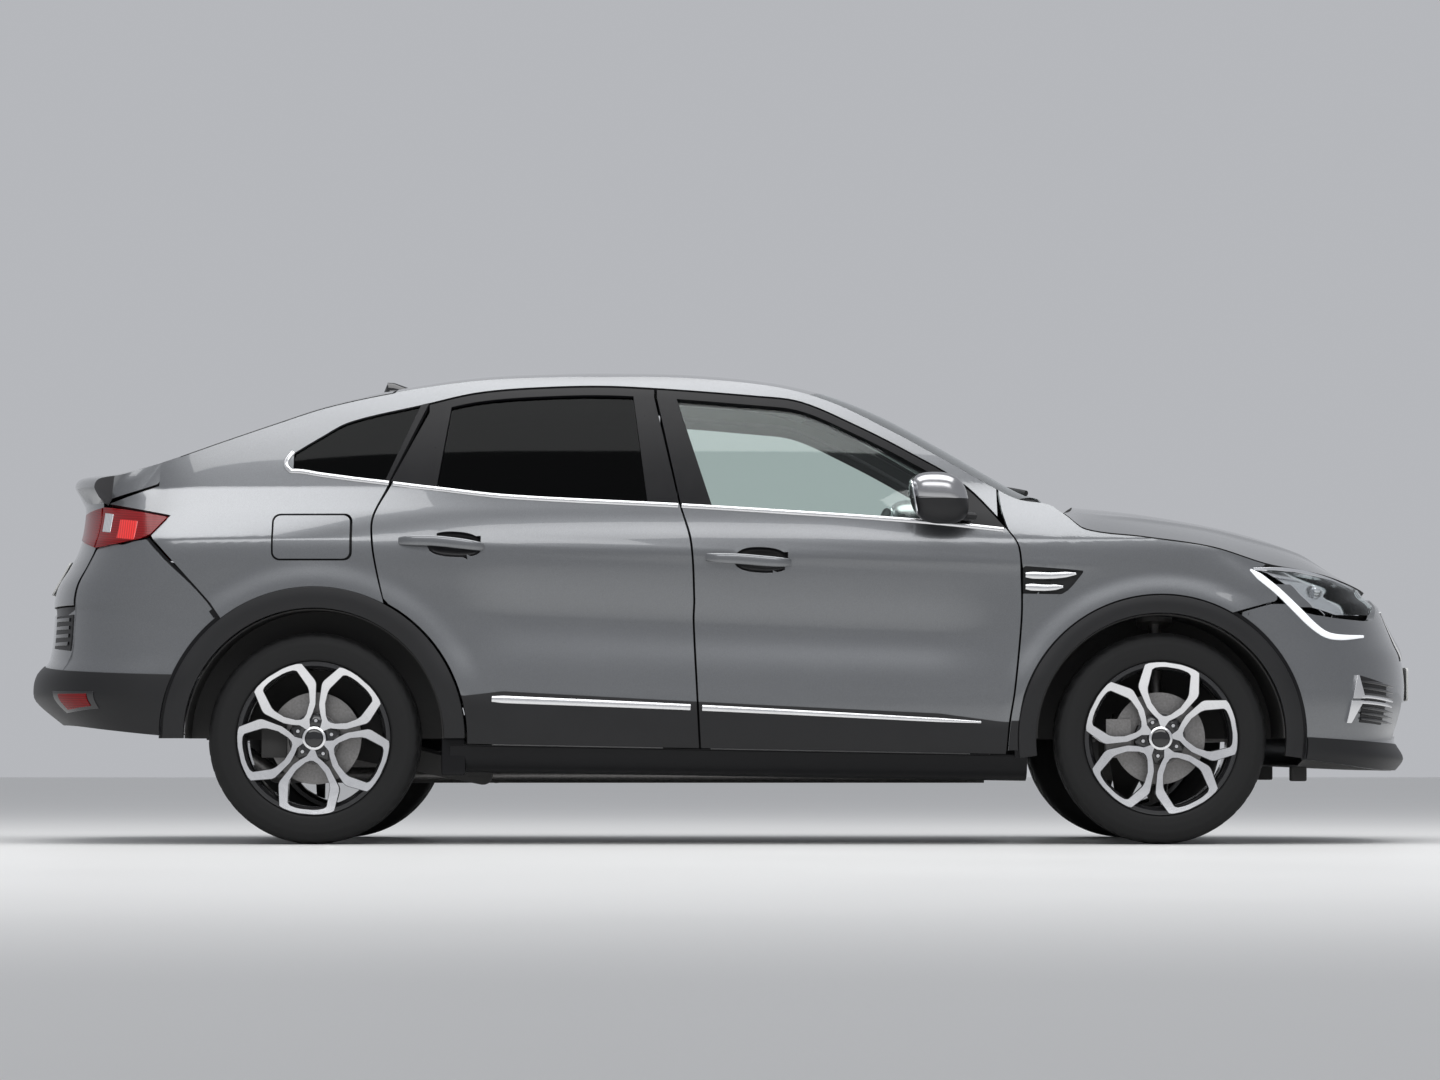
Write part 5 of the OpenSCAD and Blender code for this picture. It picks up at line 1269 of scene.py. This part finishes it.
def make_front_bumper():
    """Painted nose with open grilles, black lower part, corner vents with bright blades and a blank
    plate."""
    a = np.concatenate([np.linspace(-79, -40, 46), np.linspace(-39, -25, 18), np.linspace(-24.3, 24.3, 46),
                        np.linspace(25, 39, 18), np.linspace(40, 79, 46)])
    v = np.concatenate(
        [
            np.linspace(0, 0.2, 8), np.linspace(0.2, 0.4, 9)[1:], np.linspace(0.4, 0.64, 11)[1:],
            np.linspace(0.64, 0.95, 15)[1:], np.linspace(0.95, 1, 4)[1:],
        ],
    )[:, None]
    keep = np.ones((len(v) - 1, len(a) - 1), bool)
    middle = np.abs((a[1:] + a[:-1]) / 2) < 25
    heights = (v[1:, 0] + v[:-1, 0]) / 2
    keep[
        np.ix_(((heights > 0.2) & (heights < 0.4)) | ((heights > 0.64) & (heights < 0.95)), middle)
    ] = False
    panel = layer(
        "front_bumper_skin", front_bumper, a[None], v, 0, 24.0, "body_paint", keep=keep, bevel=1.4
    )
    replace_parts(panel, "front_bumper")
    split = 322 + 22 * (np.abs(a) / 79) ** 2
    share = column(0.004, 1, 10) * share_at(FRONT_LOW, FRONT_TOP, a, split)[None]
    share = np.where(np.abs(a)[None] < 25, np.minimum(share, 0.195), share)
    rise = -(2 + 5 * np.sin(np.pi * np.linspace(0.03, 0.97, 10)) ** 0.5)[:, None]
    layer("front_bumper_lower", front_bumper, a[None], share, rise, 4.0, "black_plastic", bevel=2.0)
    turn = np.linspace(-24.6, 24.6, 60)
    for i, (low, high, count) in enumerate(((0.64, 0.95, 9), (0.2, 0.4, 5))):
        for j in range(count):
            at = mix(low, high, (j + 0.5) / count)
            up = column(-0.5, 0.5, 4) * 0.6 * (high - low) / count
            layer(
                f"grille_bar_{i}_{j}", front_bumper, turn[None], at + up, 8.0, 22.0, "gloss_black",
                bevel=2.0,
            )
        back = column(low, high, 8)
        mesh = layer(f"grille_back_{i}", front_bumper, turn[None], back, 30.0, 34.0, "black_plastic")
        if i == 0:
            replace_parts(mesh, "grille")
    s = np.linspace(-1, 1, 60)
    path = front_bumper(24.6 * s, 0.64 + 0.29 * np.abs(s) ** 3, -2.0)
    size = np.interp(np.abs(s), [0, 0.7, 1], [1, 1, 0.25])
    sweep("grille_blade", path, (1, 0, 0), oval(6, 11), "bright_trim", taper=size)
    turn = np.linspace(-79, 79, 120)
    rim = front_bumper(turn, 0.0 * turn, 10.0)
    edge = join(np.full(120, 1856.0), np.linspace(rim[0, 1], rim[-1, 1], 120), np.full(120, 250.0))
    tray = mix(np.maximum(rim, (1856, -9999, -9999))[None], edge[None], column(0, 1, 12)[..., None])
    for name, way in SIDES:
        tab = rounded_box((54, 44, 50), (1888, 540 * way, 226), 10, 16)
        sheet("nose_tab_" + name, tab, "under_coat")
    slab("nose_tray", tray - (0, 0, 1), tray + (0, 0, 4), "under_coat")
    for name, way in SIDES:
        for j, (left, right) in enumerate(VENT_WEDGES):
            s = column(0, 1, 14)
            edge = [mix(np.array(line[0]), np.array(line[1]), s) for line in (left, right)]
            wedge = mix(edge[0][:, None], edge[1][:, None], np.linspace(0, 1, 10)[None, :, None])
            face, back = on_nose(wedge, -8.0, way), on_nose(wedge, 2.0, way)
            slab(f"front_vent_wedge_{name}_{j}", face, back, "bright_trim", bevel=2.0)
        on_bumper(FRONT_FORM, "front_corner_vent_" + name, way, FRONT_VENT, 2.5, "black_plastic")
        for j, (line, wide) in enumerate(VENT_FORMS):
            path = smooth_line(line, 40)
            spot = on_nose(path, -4.0, way)
            size = np.interp(np.linspace(0, 1, 40), [0, 0.2, 0.8, 1], [0.6, 1, 1, 0.45])
            look = "bright_trim" if j < 2 else "gloss_black"
            profile = oval(5, wide, power=0.6)
            sweep(f"front_vent_blade_{name}_{j}", spot, (0.6, 0.8 * way, 0), profile, look, taper=size)
    plate = rounded_box((8, 520, 112), (2283, 0, 522), 14, 24)
    sheet("front_plate", plate, "plate_blank")


FRONT_VENT = ((-58.0, -43.0), ((544, 392), (516, 384)))
VENT_WEDGES = [
    (((2050, 545), (2034, 469)), ((2056, 545), (2078, 469))),
    (((2030, 463), (2013, 389)), ((2074, 463), (2030, 389))),
]
VENT_FORMS = [
    ([(2044, 475), (2090, 475), (2150, 468), (2186, 460)], 6.0),
    ([(2040, 457), (2090, 456), (2150, 450), (2182, 443)], 6.0),
] + [([(2064, z), (2120, z - 6), (2186, z - 16)], 5.0) for z in (524, 504, 486, 440, 422, 404)]


HEADLAMP = (nose, LAMP_TURN, LAMP_LOW, LAMP_HIGH, 20, 54)
TAIL_LAMP = (tail, TAIL_TURN, TAIL_LOW, TAIL_HIGH, 22, 60)


def lamp_shell(name, form, top, depth, way, look, **more):
    """Slab between two depths of a lamp, whose rows are blended between its lower and its upper line."""
    surface, turn, low, high, rows, cols = form
    marks = np.arange(len(turn))
    i = np.linspace(0, len(turn) - 1, cols)
    a = np.interp(i, marks, turn) * way
    z = mix(np.interp(i, marks, low)[None], np.interp(i, marks, high)[None], column(0, 1, rows))
    return layer(name, surface, a[None], z, top, depth, look, **more)


def make_lamps():
    """Headlamps with a clear shell over a dark bowl, white strip and projector, and red tail lamps
    with ribs."""
    for name, way in SIDES:
        cover = lamp_shell("headlamp_cover_" + name, HEADLAMP, -1.0, 3.0, way, "lamp_cover", bevel=1.0)
        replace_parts(cover, "headlamps")
        lamp_shell("headlamp_bowl_" + name, HEADLAMP, 34.0, 38.0, way, "lamp_silver")
        brow = smooth_line([(1712, 884), (1800, 882), (1900, 872), (1986, 852), (2060, 824)], 60)
        path = on_nose(brow, 1.0, way)
        size = np.interp(np.linspace(0, 1, 60), [0, 0.3, 1], [0.5, 1.2, 0.5])
        a = np.linspace(0, 5.9, 16)
        profile = join(4 * np.cos(a), 8 * np.sin(a))
        sweep("headlamp_brow_" + name, path, (0.6, 0.8 * way, 0), profile, "lamp_silver", taper=size)
        z = column(762, 835, 12)
        fill = mix(74.0, 66.8 + (z - 762) * 0.0315, np.linspace(0, 1, 12)[None])
        layer("headlamp_corner_" + name, nose, fill * way, z, 3.0, 9.0, "body_paint")
        line = smooth_line(LAMP_STRIP, 80)
        path = on_nose(line, -2.0, way)
        size = np.interp(np.linspace(0, 1, 80), [0, 0.08, 0.5, 0.85, 1], [0.4, 1.3, 1.5, 1.0, 0.5])
        sweep("headlamp_strip_" + name, path, (0.6, 0.8 * way, 0), oval(6, 9), "lamp_white", taper=size)
        for i, turn in enumerate((58.0, 49.0)):
            spot = nose(np.array(turn * way), np.array(818.0), 26.0)
            bulb = turned([(0.1, 15), (14, 12), (22, 6), (26, -2), (27, -14), (0.1, -14)], (0, 0, 0), 40)
            lens = join(bulb[..., 1], bulb[..., 0], bulb[..., 2]) + spot
            sheet(f"headlamp_lens_{name}_{i}", lens, "lamp_silver")
        lens = lamp_shell("tail_lamp_" + name, TAIL_LAMP, -6.0, 24.0, way, "lens_red", bevel=3.0)
        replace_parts(lens, "tail_lamps")
        for part, low, high, look in TAIL_INSERTS:
            turn = np.linspace(low[0], high[0], 16) * way
            z = column(low[1], high[1], 14) + (62 - np.abs(turn))[None] * 0.9
            layer(f"tail_lamp_{part}_{name}", tail, turn[None], z, -7.0, 2.0, look, bevel=3.0)


def make_arches():
    """Black bands round the wheel openings, with a rounded section standing off the skin, and dark
    wheel houses."""
    for which, axle, (outer, inner), (start, end) in (
        ("rear", REAR_AXLE, REAR_ARCH, (0, 180)),
        ("front", FRONT_AXLE, FRONT_ARCH, (-8, 188)),
    ):
        for name, way in SIDES:
            a = np.radians(np.linspace(start, end, 90))[None]
            share = column(0, 1, 9)
            r = mix(inner, outer - 1.5, share)
            x, z = around(axle, r, a)
            y = body_width(x, z) + 3 + 6 * np.sin(np.pi * np.clip(share, 0.04, 0.96)) ** 0.6
            face = join(x, y, z)
            band = inward(f"{which}_arch_{name}", face, 30, way, "black_plastic", bevel=2.0)
            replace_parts(band, "arch_bands")
            x, z = around(axle, inner + 6, a)
            y = mix(845.0, body_width(x, z) - 3, column(0, 1, 4))
            house = join(x, y, z) * (1, way, 1)
            thick = join(3 * np.cos(a), 0 * a, 3 * np.sin(a))
            slab(f"{which}_wheel_house_{name}", house, house + thick, "under_coat")
            # Dark sheet set inside the skin behind the band's outer edge: painted shade that makes the gap
            # read dark
            a = np.radians(np.linspace(max(start, 100 if which == "rear" else start), end, 90))[None]
            r = mix(outer - 8, outer + 12, column(0, 1, 4))
            x, z = around(axle, r, a)
            shade_backing = join(x, body_width(x, z) - 9, z)
            inward(f"{which}_arch_seal_{name}", shade_backing, 17, way, "satin_black")


def make_sills():
    """Sills along the floor with a rounded foot, from one arch to the other, and a seal behind the
    doors' lower gap."""
    x = np.linspace(985, -872, 64)
    top = curve(DOOR_BOTTOM, x) - HALF_GAP
    low = np.interp(x, [-872, 985], [232, 203])
    share = column(0, 1, 13)
    z = mix(low[None], top[None], share)
    tuck = 46 * (1 - np.sqrt(unit(1 - (1 - unit(share / 0.45)) ** 2)))
    y = body_width(x[None], z) - tuck - 28
    for name, way in SIDES:
        face = join(x[None], y, z)
        cover = inward("sill_cover_" + name, face, 60, way, "satin_black", bevel=2.0)
        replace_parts(cover, "sills")
        z2 = mix(top - 20, top + 3, column(0, 1, 6))
        # Dark sheet on the pillar behind the gap between the doors: painted shade that makes the gap read
        # dark
        z3 = column(285, 1005, 30)
        x3 = curve(MIDDLE_SPLIT, z3) + np.linspace(-34, 34, 6)[None]
        pillar_shade = join(x3, 776.0, z3)
        inward("middle_post_" + name, pillar_shade, 6, way, "satin_black")
        end_y = body_width(np.array(-860.0), np.array(300.0)) - 62
        end = rounded_box((78, 60, 126), (-860, end_y * way, 284), 12, 20)
        sheet("sill_end_" + name, end, "satin_black")
        # Dark sheet behind the doors' lower gap: painted shade
        deep = join(x[None], body_width(x[None], z2) - 30, z2)
        inward("sill_seal_" + name, deep, 8, way, "satin_black")


def make_mirrors():
    """Door mirrors: a bright cap over a black shell, a mirror face towards the rear and a foot on
    the door."""
    for name, way in SIDES:
        body = f"front_{name}_door"
        shell = rounded_box((184, 166, 164), (697, 950, 1109), 2.7, 30)
        lean = (shell[..., 2] - 1112) / 75
        shell[..., 0] -= 14 * lean
        shell[..., 1] -= 8 * (1 - lean)
        high = shell.copy()
        high[..., 2] = np.maximum(high[..., 2], 1106)
        cap = (high - (700, 950, 1112)) * 1.012 + (700, 950, 1112)
        lower = shell.copy()
        lower[..., 2] = np.minimum(lower[..., 2], 1110)
        flip = np.array([1, way, 1])
        top = sheet(f"mirror_cap_{name}", cap * flip, "satin_chrome", body, doubles=0.4)
        sheet(f"mirror_shell_{name}", lower * flip, "black_plastic", body, doubles=0.4)
        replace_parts(top, f"front_{name}_mirror")
        face = rounded_box((8, 134, 112), (617, 950, 1112), 4.5, 24)
        face[..., 0] -= 14 * (face[..., 2] - 1112) / 75
        sheet(f"mirror_face_{name}", face * flip, "mirror_face", body)
        s = np.linspace(0, 1, 20)
        foot = mix(np.array([800, 872, 1052]), np.array([726, 925, 1058]), s[:, None])
        size = 1.1 - 0.2 * np.sin(np.pi * s)
        sweep(
            f"mirror_foot_{name}", foot * flip, (0, 0, 1), oval(15, 34, 20), "black_plastic", body,
            taper=size,
        )


# Wheels

PETAL_OUT = [
    (36, 9), (57, 16), (72, 38), (90, 59), (148, 97), (160, 99), (226, 89), (233, 76), (239.5, 51),
    (243.5, 26),
]
PETAL_IN = [
    (74, 5), (80, 19), (108, 47), (139, 63), (153, 66), (213, 62), (221, 54), (226, 36), (228.5, 18)
]
TYRE = [
    (229, 82), (247, 85), (248, 98), (254, 101), (256, 103.5), (262, 105), (265, 104), (285, 107),
    (299, 106), (301, 108), (306, 107.5), (308, 104.5), (323, 99), (333, 89), (338, 74), (340, 54),
]


def loop_of(points, n, middle=165.0):
    """Closed line through points and their mirror images, read at n even angles about a point on
    the spoke's axis."""
    p = np.asarray(points, float)
    ring = closed(np.concatenate([p, p[::-1] * (1, -1)]), 900)
    turn, reach = np.arctan2(ring[:, 1], ring[:, 0] - middle), np.hypot(ring[:, 0] - middle, ring[:, 1])
    a = np.linspace(-np.pi, np.pi, n + 1)[:-1]
    r = np.interp(a, turn[np.argsort(turn)], reach[np.argsort(turn)], period=2 * np.pi)
    return join(middle + r * np.cos(a), r * np.sin(a))


WHEEL_PARTS = (
    (
        "barrel", "alloy_black", 120,
        [
            (246, 97), (246, 88), (232, 82), (229, 70), (226, -82), (246, -88), (246, -97),
            (232, -97), (220, -82), (220, 76), (228, 90), (233, 97), (246, 97),
        ],
    ),
    (
        "lip", "alloy_black", 120,
        [(243, 96), (244, 99.5), (246, 99.5), (247.5, 97), (246, 95), (244, 95), (243, 96)],
    ),
    (
        "hub", "alloy_black", 80,
        [(0.1, 58), (29, 58), (46, 66), (66, 64), (80, 56), (84, 40), (0.1, 40)],
    ),
    (
        "cap", "gloss_black", 60,
        [(0.1, 82), (20, 81.5), (27, 79), (28.4, 75), (28.4, 64), (0.1, 64)],
    ),
    (
        "hub_ring", "alloy_face", 80,
        [(29, 70), (29, 79), (30.5, 80.5), (36, 80), (38, 78), (38, 70), (29, 70)],
    ),
)
NUT = [(0.1, 73), (6, 73), (8.5, 70), (8.5, 56), (0.1, 56)]
BOLT_CIRCLE = 57.15


def make_wheel(which, name, axle, way, turn):
    """Wheel with a petal shaped pair of spokes five times, barrel, hub, bolts, blank cap and a
    grooved tyre."""
    body = f"{which}_{name}_wheel"
    centre = np.array([axle, TRACK * way, AXLE_Z])
    flip = np.array([1, way, 1])
    origin = np.zeros(3)
    parts = {}
    for part, look, turns, profile in WHEEL_PARTS:
        grid = turned(profile, origin, turns) * flip + centre
        parts[part] = sheet(f"{body}_{part}", grid, look, body, slot="alloy")
    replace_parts(parts["barrel"], f"{which}_{name}_rim")
    outer, inner = loop_of(PETAL_OUT, 110), loop_of(PETAL_IN, 110)
    web = mix(outer[None], inner[None], column(0, 1, 3)[..., None])
    rise = 77 + 23.5 * (np.linalg.norm(web, axis=-1) / 245) ** 2
    a = np.radians(turn + 72 * np.arange(5))
    along = join(np.cos(a), 0 * a, np.sin(a))[:, None, None]
    across = join(-np.sin(a), 0 * a, np.cos(a))[:, None, None]
    top = web[..., :1] * along + web[..., 1:] * across + np.array([0, 1, 0]) * rise[..., None]
    build_loops(body, top, top - (0, 30, 0), flip, centre)
    a = a + math.radians(36)
    spots = BOLT_CIRCLE * join(np.cos(a), 0 * a, np.sin(a))[:, None, None]
    many(
        f"{body}_nuts", (turned(NUT, origin, 6) + spots) * flip + centre, "bright_trim", body,
        slot="steel",
    )
    make_tyre(body, which, name, flip, centre)


def many(name, grids, look, body, **more):
    """One object from several grids of the same size."""
    count, rows, cols = grids.shape[:3]
    faces = (grid_faces(rows, cols)[None] + (np.arange(count) * rows * cols)[:, None, None]).reshape(-1, 4)
    return piece(name, grids, faces, look, body, **more)


def build_loops(body, top, low, flip, centre):
    """Bright machined faces on dark loops: the face is a thin sheet on the loop's outer side."""
    shut = np.concatenate([top, top[:, :, :1]], 2)
    under = np.concatenate([low, low[:, :, :1]], 2)
    out = np.array([0, 0.6, 0])
    wall = np.concatenate([under, shut[:, ::-1], under[:, :1]], 1)
    many(f"{body}_spokes", wall * flip + centre, "alloy_black", body)
    inset = mix(shut, mix(shut[:, :1], shut[:, -1:], 0.5), 0.1)
    face = np.concatenate([inset + out, (inset - (0, 2, 0))[:, ::-1], inset[:, :1] + out], 1)
    many(f"{body}_faces", face * flip + centre, "alloy_face", body)


def make_tyre(body, which, name, flip, centre):
    """Tyre turned from its section, with four grooves round the tread and slanted cuts at its shoulders."""
    half = smooth_line(TYRE, 20)
    flat = np.linspace(54, -54, 31)[1:-1]
    road = join(np.full(29, 340.0), flat)
    section = np.concatenate([half, road, half[::-1] * (1, -1), [(229, -82), (229, 82)]])
    turns = 160
    grid = turned(section, np.zeros(3), turns)
    a = column(0, 2 * np.pi, turns + 1)
    y = section[None, :, 1]
    tread = section[None, :, 0] > 333
    rings = sum(np.exp(-(((y - at) / 4.0) ** 6)) for at in (-52, -18, 18, 52))
    cuts = (np.sin(40 * a + 0.10 * np.abs(y)) > 0.72) * (np.abs(y) > 24)
    depth = np.where(tread, np.maximum(7 * rings, 5 * cuts), 0)
    wall = np.exp(-(((section[None, :, 0] - 274) / 1.6) ** 2)) * (np.abs(y) > 90)
    size = (section[None, :, 0] - depth) / section[None, :, 0]
    grid[..., 0] *= size
    grid[..., 2] *= size
    grid[..., 1] += np.sign(y) * 0.9 * wall
    tyre = sheet(f"{body}_tyre", grid * flip + centre, "tyre_rubber", body)
    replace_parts(tyre, f"{which}_{name}_tyre")


# Cabin


def pad(name, size, centre, lean, crown, grooves=(), bolster=0.0):
    """Stuffed form: a superellipsoid, crowned in the middle, with sewn channels pressed in, leant
    about its middle."""
    grid = rounded_box(size, (0, 0, 0), 4.2, 18)
    half = np.asarray(size, float) / 2
    u, v = grid[..., 0] / half[0], grid[..., 1] / half[1]
    up = unit(grid[..., 2] / half[2])
    grid[..., 2] += up * crown * (1 - u**2) * (1 - v**2)
    grid[..., 2] += up * bolster * ease((np.abs(v) - 0.55) / 0.3)
    for at in grooves:
        grid[..., 2] -= up * 9 * np.exp(-(((v - at) / 0.035) ** 2))
    grid[..., 0] *= 1 - 0.03 * (1 - v**2)
    a = math.radians(lean)
    x = grid[..., 0] * math.cos(a) + grid[..., 2] * math.sin(a)
    z = grid[..., 2] * math.cos(a) - grid[..., 0] * math.sin(a)
    spot = join(x, grid[..., 1], z) + np.asarray(centre, float)
    cushion = sheet(name, spot, "seat_cloth", doubles=0.3)
    soft = cushion.modifiers.new("Soft", "SUBSURF")
    soft.levels = soft.render_levels = 1
    return cushion


def make_cabin():
    """Front seats with bolsters, and the rear bench in three parts."""
    for name, way in SIDES:
        y = 370 * way
        base = pad(f"front_seat_cushion_{name}", (520, 480, 120), (105, y, 500), -6, 12, (-0.5, 0.5), 20)
        back = pad(f"front_seat_back_{name}", (600, 470, 110), (-190, y, 800), -75, 8, (-0.5, 0.5), 18)
        head = pad(f"front_seat_head_{name}", (170, 270, 80), (-325, y, 1226), -86, 6)
        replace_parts(base, "front_seats")
        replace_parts(back, "front_seats")
        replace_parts(head, "front_seats")
    for i, y in enumerate((410, 0, -410)):
        base = pad(f"rear_bench_cushion_{i}", (400, 400, 120), (-760, y, 520), -6, 8, (-0.6, 0.6))
        back = pad(f"rear_bench_back_{i}", (510, 400, 90), (-1030, y, 800), -77, 6, (-0.6, 0.6))
        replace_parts(base, "rear_seat")
        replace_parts(back, "rear_seat")


# The pillars behind the doors are given satin black so that the door gaps in front of them read dark:
# painted shade
NODE_LOOKS = {
    "scuttle_panel": "black_plastic", "pillars": "satin_black",
    "floor_pan": "under_coat", "wheel_liners": "under_coat", "front_subframe": "under_coat",
    "rear_axle": "under_coat", "dashboard": "cabin_plastic", "steering_wheel": "cabin_plastic",
}


def dress_nodes():
    """Gives every CAD node that still shows a finish of its own."""
    for name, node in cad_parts.items():
        if node.hide_render:
            continue
        look = looks()[NODE_LOOKS.get(name, "brake_iron")]
        if not node.material_slots:
            node.data.materials.append(look)
        for holder in node.material_slots:
            holder.material = look


# Stage


def make_stage():
    """Pale floor, an even sky, two broad lamps and the photograph's camera."""
    settings = bpy.context.scene.vehicle_stage
    mesh = bpy.data.meshes.new("stage_floor")
    reach = 60.0
    mesh.from_pydata(
        [(-reach, -reach, 0), (reach, -reach, 0), (reach, reach, 0), (-reach, reach, 0)], [],
        [(0, 1, 2, 3)],
    )
    floor = bpy.data.objects.new("stage_floor", mesh)
    bpy.context.scene.collection.objects.link(floor)
    mesh.materials.append(finish("stage_pale", (0.74, 0.74, 0.73), 0.5, smeared(0.8, 2.0, 0.4, 0.5)))
    world = bpy.data.worlds.new("studio")
    bpy.context.scene.world = world
    world.use_nodes = True
    sky = world.node_tree.nodes["Background"]
    sky.inputs["Color"].default_value = (0.93, 0.95, 1.0, 1)
    sky.inputs["Strength"].default_value = settings.sky
    for name, spot, aim, size, power in (
        ("stage_top", (0, -1.0, 6.5), (0, 0, 0.6), (9.0, 5.0), settings.top_light),
        ("stage_side", (0.0, -8.5, 5.6), (0, 0, 0.7), (11.0, 2.8), settings.side_light),
    ):
        lamp = bpy.data.lights.new(name, "AREA")
        lamp.shape = "RECTANGLE"
        lamp.size, lamp.size_y = size
        lamp.energy = power
        holder = bpy.data.objects.new(name, lamp)
        bpy.context.scene.collection.objects.link(holder)
        holder.location = spot
        holder.rotation_euler = (Vector(aim) - Vector(spot)).to_track_quat("-Z", "Y").to_euler()
    view = bpy.data.cameras.new("photo_camera")
    view.sensor_width = 36.0
    view.lens = settings.lens
    view.clip_end = 200.0
    camera = bpy.data.objects.new("photo_camera", view)
    bpy.context.scene.collection.objects.link(camera)
    spot, aim = Vector((-0.053, -18.5, 0.277)), Vector((-0.0033, -0.9, 0.976))
    camera.location = spot
    camera.rotation_euler = (aim - spot).to_track_quat("-Z", "Y").to_euler()
    bpy.context.scene.camera = camera
    bpy.context.scene.view_settings.view_transform = "Standard"


# Settings, operators and panel


class VehicleLooks(bpy.types.PropertyGroup):
    """Colours of the painted panels and of the black mouldings."""

    paint: bpy.props.FloatVectorProperty(
        name="Paint", description="Colour of the painted panels", subtype="COLOR", size=3, min=0, max=1,
        default=(0.17, 0.176, 0.184))
    plastic: bpy.props.FloatVectorProperty(
        name="Mouldings", description="Colour of the black mouldings", subtype="COLOR", size=3,
        min=0, max=1, default=(0.011, 0.011, 0.012),
    )


class VehicleStage(bpy.types.PropertyGroup):
    """Strength of the lights and the camera's lens."""

    sky: bpy.props.FloatProperty(
        name="Sky", description="Strength of the even light", default=0.5, min=0, max=5
    )
    top_light: bpy.props.FloatProperty(
        name="Top", description="Power of the lamp above, in watts", default=420, min=0
    )
    side_light: bpy.props.FloatProperty(
        name="Side", description="Power of the lamp beside, in watts", default=270, min=0
    )
    lens: bpy.props.FloatProperty(
        name="Lens", description="Focal length in millimetres", default=137.2, min=10, max=400
    )


def all_doors():
    """The four doors."""
    for front in (True, False):
        for name, way in SIDES:
            make_door(front, name, way)


def all_wheels():
    """The four wheels."""
    for which, axle, turn in (("front", FRONT_AXLE, 81.0), ("rear", REAR_AXLE, 264.6)):
        for name, way in SIDES:
            make_wheel(which, name, axle, way, turn)


def step(idname, label, make):
    """Operator class that runs one maker and carries its description."""

    def execute(self, context):
        """Runs the maker."""
        make()
        return {"FINISHED"}

    return type(
        "VEHICLE_OT_" + idname, (bpy.types.Operator,),
        {
            "__doc__": make.__doc__, "bl_idname": "vehicle." + idname, "bl_label": label,
            "bl_options": {"REGISTER", "UNDO"}, "execute": execute,
        },
    )


STEPS = (
    step("body_sides", "Body sides", make_body_sides),
    step("doors", "Doors", all_doors),
    step("fenders", "Front wings", make_fenders),
    step("tops", "Roof, screen and bonnet", make_tops),
    step("tailgate", "Tailgate", make_tailgate),
    step("rear_bumper", "Rear bumper", make_rear_bumper),
    step("front_bumper", "Front bumper", make_front_bumper),
    step("lamps", "Lamps", make_lamps),
    step("arches", "Arches", make_arches),
    step("sills", "Sills", make_sills),
    step("mirrors", "Mirrors", make_mirrors),
    step("wheels", "Wheels", all_wheels),
    step("cabin", "Cabin", make_cabin),
    step("nodes", "Carried frame", dress_nodes),
    step("stage", "Stage", make_stage),
)


class VEHICLE_PT_panel(bpy.types.Panel):
    """Settings and build steps of the vehicle."""

    bl_idname = "VEHICLE_PT_panel"
    bl_label = "Vehicle"
    bl_space_type = "VIEW_3D"
    bl_region_type = "UI"
    bl_category = "Vehicle"

    def draw(self, context):
        """Shows both groups of settings and a button for every step."""
        for group in (context.scene.vehicle_looks, context.scene.vehicle_stage):
            for key in group.bl_rna.properties.keys():
                if key not in {"rna_type", "name"}:
                    self.layout.prop(group, key)
        for item in STEPS:
            self.layout.operator(item.bl_idname)


CLASSES = (VehicleLooks, VehicleStage, *STEPS, VEHICLE_PT_panel)


def register():
    """Registers the settings, operators and panel."""
    for item in CLASSES:
        bpy.utils.register_class(item)
    bpy.types.Scene.vehicle_looks = bpy.props.PointerProperty(type=VehicleLooks)
    bpy.types.Scene.vehicle_stage = bpy.props.PointerProperty(type=VehicleStage)


def unregister():
    """Takes them away again."""
    del bpy.types.Scene.vehicle_stage
    del bpy.types.Scene.vehicle_looks
    for item in reversed(CLASSES):
        bpy.utils.unregister_class(item)


def main():
    """Builds everything in order and writes the CAD box and the visual model's box."""
    register()
    for item in STEPS:
        group, _, name = item.bl_idname.partition(".")
        getattr(getattr(bpy.ops, group), name)()


if __name__ == "__main__":
    main()
